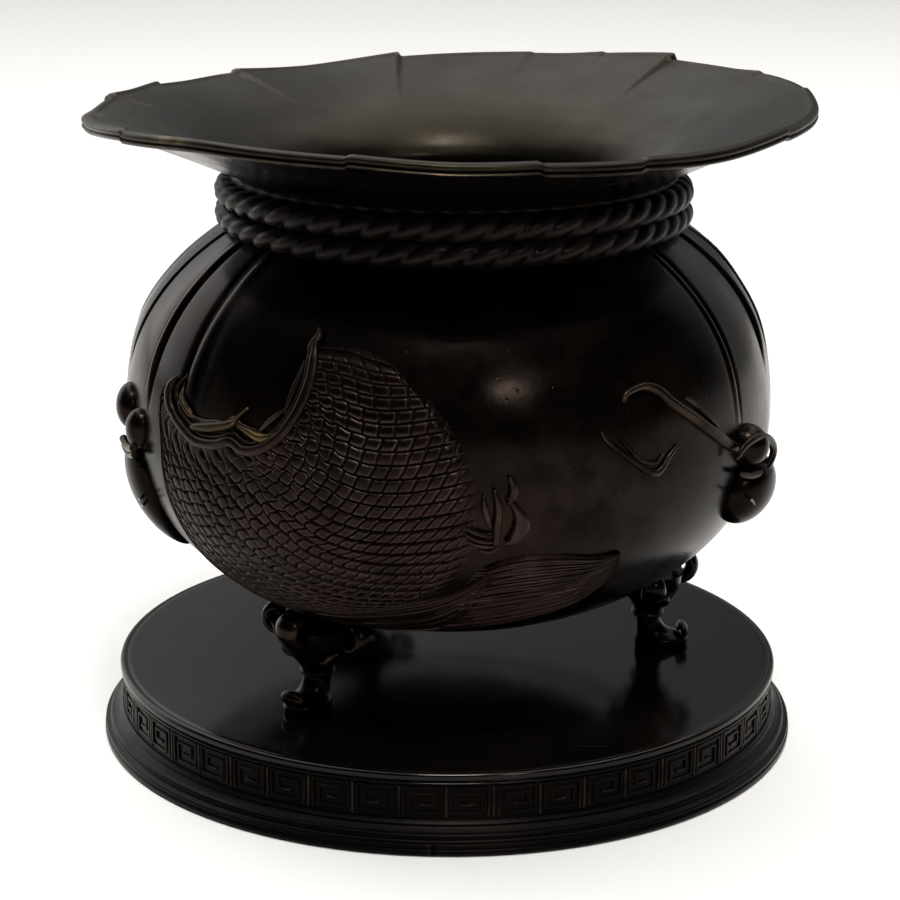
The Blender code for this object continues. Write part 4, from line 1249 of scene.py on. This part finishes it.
# %% The stand's profile
band_bottom = stand_height - 0.0040 - 0.0112
band_top = stand_height - 0.0040
band_radius = stand_top_radius - 0.0012
plate_radius = 0.1020
plate_thickness = 0.0050
foot, top, plate_top = stand_foot_radius, stand_height, stand_height - 0.0001
corners = [
    (plate_radius, 0.0000, 0), (foot - 0.0010, 0.0000, 0.0004), (foot - 0.0001, 0.0009, 0.0007),
    (foot - 0.0001, 0.0021, 0.0003), (foot - 0.0007, 0.0024, 0.0002), (foot - 0.0003, 0.0028, 0.0003),
    (foot - 0.0003, 0.0038, 0.0004), (foot - 0.0016, 0.0042, 0.0003), (foot - 0.0022, 0.0046, 0.0003),
    (foot - 0.0020, 0.0060, 0.0008), (foot - 0.0034, 0.0066, 0.0004), (foot - 0.0040, 0.0070, 0.0003),
    (band_radius + 0.0016, 0.0078, 0.0005), (band_radius + 0.0019, band_bottom - 0.0010, 0.0004),
    (band_radius + 0.0011, band_bottom - 0.0004, 0.0003), (band_radius + 0.0008, band_bottom, 0.0002),
    (band_radius - 0.0001, band_bottom + 0.0001, 0.0002), (band_radius - 0.0001, band_top - 0.0001, 0.0002),
    (band_radius + 0.0008, band_top, 0.0002), (band_radius + 0.0009, band_top + 0.0006, 0.0003),
    (stand_top_radius - 0.0011, band_top + 0.0010, 0.0002), (stand_top_radius - 0.0001, top - 0.0024, 0.0008),
    (stand_top_radius - 0.0001, top - 0.0008, 0.0009), (stand_top_radius - 0.0012, plate_top, 0.0006),
    (stand_top_radius - 0.0024, top - 0.0004, 0.0004), (stand_top_radius - 0.0034, plate_top, 0.0005),
    (0.0500, plate_top, 0),
]
profile = rounded_corners(corners)
profile += [np.array([r, plate_top]) for r in (0.036, 0.020, 0.006)]
under = [np.array([r, top - plate_thickness]) for r in (0.006, 0.050, 0.0985)]
under += [np.array([plate_radius, top - 0.0075])]
print("corners", len(corners), "rows", len(profile) + len(under))

# %% The turned stand
# A small dent in the foot's edge is kept where the photo shows it.
dent_azimuth = -1.8
dent_half = 0.7
dent_depth = 0.0045
stand_columns = 576
azimuths = np.linspace(0.0, 360.0, stand_columns, endpoint=False)
rows = [polar(r, azimuths, h - sole_plane) for r, h in profile + under]
for row in rows:
    row[:, 2] = np.maximum(row[:, 2], 0.0)
dent = smooth(1.0 - np.abs(angle_between(azimuths, dent_azimuth)) / dent_half)
for k, (r, h) in enumerate(profile):
    if r > foot - 0.0006 and 0.0008 < h < 0.0040:
        rows[k][:, :2] *= (1.0 - dent_depth * dent)[:, None]
points = np.concatenate([np.stack(rows).reshape(-1, 3), [[0, 0, plate_top], [0, 0, top - plate_thickness]]])
faces = grid_faces(len(rows), stand_columns, looped=True)
last_top = len(profile) - 1
keep = np.arange(len(faces)) // stand_columns != last_top
faces = faces[keep].tolist()
for middle, row in ((len(points) - 2, last_top), (len(points) - 1, last_top + 1)):
    first = row * stand_columns
    faces += [[middle, first + k, first + (k + 1) % stand_columns] for k in range(stand_columns)]
stand = piece("turned_stand", points, faces, stand_finish, slot="stand_bronze", node="round_stand",
              wear=(5.0, 1))

# %% The stand's duller side
stand.data.materials.append(band_finish)
centres = np.empty(len(stand.data.polygons) * 3)
stand.data.polygons.foreach_get("center", centres)
centres = centres.reshape(-1, 3)
below_top = centres[:, 2] < stand_height - 0.0036
on_side = np.hypot(centres[:, 0], centres[:, 1]) > band_radius - 0.002
stand.data.polygons.foreach_set("material_index", (below_top & on_side).astype(np.int32))
print("faces of the dull side:", int((below_top & on_side).sum()))

# %% [markdown]
# ## The key fret
# Squared spirals stand in frames round the band, with a plain bar between neighbours, and every
# other one is turned over. Each is one ribbon of even width that follows a path with square
# corners, raised by less than a millimetre, with sloping sides such as a cast line has.


# %% Fret ribbons
fret_base = -0.0005


def square_ribbon(path, half):
    """Both edges of a square-cornered line of even width, as one closed outline."""
    path = np.asarray(path, float)
    runs = np.diff(path, axis=0)
    runs /= np.linalg.norm(runs, axis=1, keepdims=True)
    sides = np.stack([-runs[:, 1], runs[:, 0]], -1)
    offset = np.concatenate([sides[:1], sides[:-1] + sides[1:], sides[-1:]])
    return np.concatenate([path + half * offset, (path - half * offset)[::-1]])


def fret_line(points, faces, path, middle, flip, height, half):
    """Adds a raised line with sloping sides that follows a path on the band."""
    start = sum(len(p) for p in points)
    rings = []
    for depth, width in ((0.0, half * 1.25), (height * 0.75, half), (height, half * 0.62)):
        outline = square_ribbon(path, width)
        azimuth = middle + np.degrees(outline[:, 0] * flip / band_radius)
        level = outline[:, 1] + (band_bottom + band_top) / 2 - sole_plane
        rings.append(polar(band_radius + (fret_base + depth), azimuth, level))
    count = len(rings[0])
    points.append(np.concatenate(rings))
    for level in (0, 1):
        for k in range(count):
            after = (k + 1) % count
            a, b = start + level * count + k, start + level * count + after
            faces.append([a, b, b + count, a + count])
    half_count = count // 2
    for level, turned in ((0, True), (2, False)):
        for k in range(half_count - 1):
            quad = [start + level * count + k, start + level * count + k + 1,
                    start + level * count + count - 2 - k, start + level * count + count - 1 - k]
            faces.append(quad[::-1] if turned else quad)


# %% The spirals and bars
fret_units = 48
fret_gap = 0.0030
fret_height = 0.0092
unit_width = 2 * math.pi * band_radius / fret_units
line = 0.00105
gap = 2.05 * line
w, h = (unit_width - fret_gap) / 2, fret_height / 2
spiral = [
    (-w, -h), (-w, h), (w, h), (w, -h + gap * 0.55), (-w + gap, -h + gap * 0.55), (-w + gap, h - gap),
    (w - gap * 1.15, h - gap), (w - gap * 1.15, -h + gap * 1.75), (-w + gap * 2.1, -h + gap * 1.75),
]
bar_line = [(0, -0.0050), (0, 0.0050)]
points, faces = [], []
for unit in range(fret_units):
    middle = (unit + 0.5) * 360.0 / fret_units
    flip = 1 if unit % 2 else -1
    fret_line(points, faces, spiral, middle, flip, 0.00105, line * 0.40)
    fret_line(points, faces, bar_line, middle + 180.0 / fret_units, 1, 0.0010, line * 0.42)
points = np.concatenate(points)
piece("key_fret", points, faces, band_finish, slot="stand_bronze", node="round_stand", wear=(0.8, 0))

# %% [markdown]
# ## Camera, floor and light
# The camera looks down by 16 degrees from nearly four widths away. The bronze mirrors the dark room
# behind the camera in its front and the pale wall behind it only at its very sides, which is why
# it looks nearly black. The world is therefore dark towards the camera, pale behind and above, and
# plain white where the camera sees it directly. The floor too is whiter to the camera than to the
# mirrors, by a Light Path node, as on a well lit table that runs into the dark.

# %% Camera
aim_height = 0.0681
distance = 0.8568
target = Vector((0.00056, 0.0, stand_height + aim_height))
elevation = math.radians(16.30)
roll = math.radians(0.3)
back = Vector((0.0, -math.cos(elevation), math.sin(elevation)))
camera_data = bpy.data.cameras.new("camera")
camera_data.sensor_width = 36.0
camera_data.lens = 104.0
camera = bpy.data.objects.new("camera", camera_data)
bpy.context.scene.collection.objects.link(camera)
camera.location = target + back * distance
camera.rotation_mode = "QUATERNION"
camera.rotation_quaternion = (-back).to_track_quat("-Z", "Y") @ Quaternion((0, 0, 1), roll)
bpy.context.scene.camera = camera
bpy.context.scene.view_settings.view_transform = "Standard"
print("camera at", [round(c, 3) for c in camera.location])

# %% Floor
side = 40.0
floor_mesh = bpy.data.meshes.new("floor")
floor_corners = [(-side, -side, 0), (side, -side, 0), (side, side, 0), (-side, side, 0)]
floor_mesh.from_pydata(floor_corners, [], [(0, 1, 2, 3)])
floor = bpy.data.objects.new("floor", floor_mesh)
bpy.context.scene.collection.objects.link(floor)
pale = bpy.data.materials.new("pale floor")
pale.use_nodes = True
shader = pale.node_tree.nodes["Principled BSDF"]
seen = pale.node_tree.nodes.new("ShaderNodeLightPath").outputs["Is Camera Ray"]
paint = blend(pale.node_tree, seen, (0.78, 0.77, 0.75, 1), (0.95, 0.95, 0.95, 1))
pale.node_tree.links.new(paint, shader.inputs["Base Color"])
shader.inputs["Roughness"].default_value = 0.85
shader.inputs["Specular IOR Level"].default_value = 0.1
floor_mesh.materials.append(pale)
print("floor is", 2 * side, "m wide")

# %% World
world = bpy.data.worlds.new("studio")
bpy.context.scene.world = world
world.use_nodes = True
tree = world.node_tree
ground = tree.nodes["Background"]
direction = tree.nodes.new("ShaderNodeTexCoord").outputs["Generated"]
parts = tree.nodes.new("ShaderNodeSeparateXYZ")
tree.links.new(direction, parts.inputs[0])
x, y, z = parts.outputs
behind = maths(tree, "MULTIPLY", band(tree, y, 0.20, 0.50), band(tree, y, 0.75, 0.95, 1.0, 0.21))
behind = maths(tree, "MULTIPLY", behind, band(tree, x, -0.25, 0.25, 1.6, 0.48))
behind = maths(tree, "MULTIPLY", behind, band(tree, z, -0.30, 0.10, 0.35, 1.0))
overhead = band(tree, z, 0.62, 0.92, 0.0, 0.55)
darkest = 0.004
seen_strength = 1.05
glow = maths(tree, "ADD", maths(tree, "MAXIMUM", behind, overhead), darkest)
seen = tree.nodes.new("ShaderNodeLightPath").outputs["Is Camera Ray"]
strength = maths(tree, "ADD", maths(tree, "MULTIPLY", seen, seen_strength),
                 maths(tree, "MULTIPLY", maths(tree, "SUBTRACT", 1.0, seen), glow))
tree.links.new(strength, ground.inputs["Strength"])
ground.inputs["Color"].default_value = (1.0, 0.985, 0.96, 1)
print("nodes of the world:", len(tree.nodes))


# %% Lamps
def soft_lamp(name, place, aim, size, power, colour=(1.0, 0.98, 0.95)):
    data = bpy.data.lights.new(name, "AREA")
    data.shape = "RECTANGLE"
    data.size, data.size_y = size
    data.energy = power
    data.color = colour
    lamp = bpy.data.objects.new(name, data)
    bpy.context.scene.collection.objects.link(lamp)
    lamp.location = place
    lamp.rotation_mode = "QUATERNION"
    lamp.rotation_quaternion = (Vector(aim) - Vector(place)).to_track_quat("-Z", "Y")
    return lamp


soft_lamp("ceiling", (0.0, 0.55, 2.2), (0.0, 0.1, 0.0), (3.0, 2.0), 45.0)
soft_lamp("high_front", (0.05, -0.80, 2.05), (0.0, 0.0, 0.1), (0.50, 0.30), 22.0)
soft_lamp("glint", (0.588, -1.357, 0.948), (0.0, 0.0, 0.1), (0.22, 0.09), 3.4)
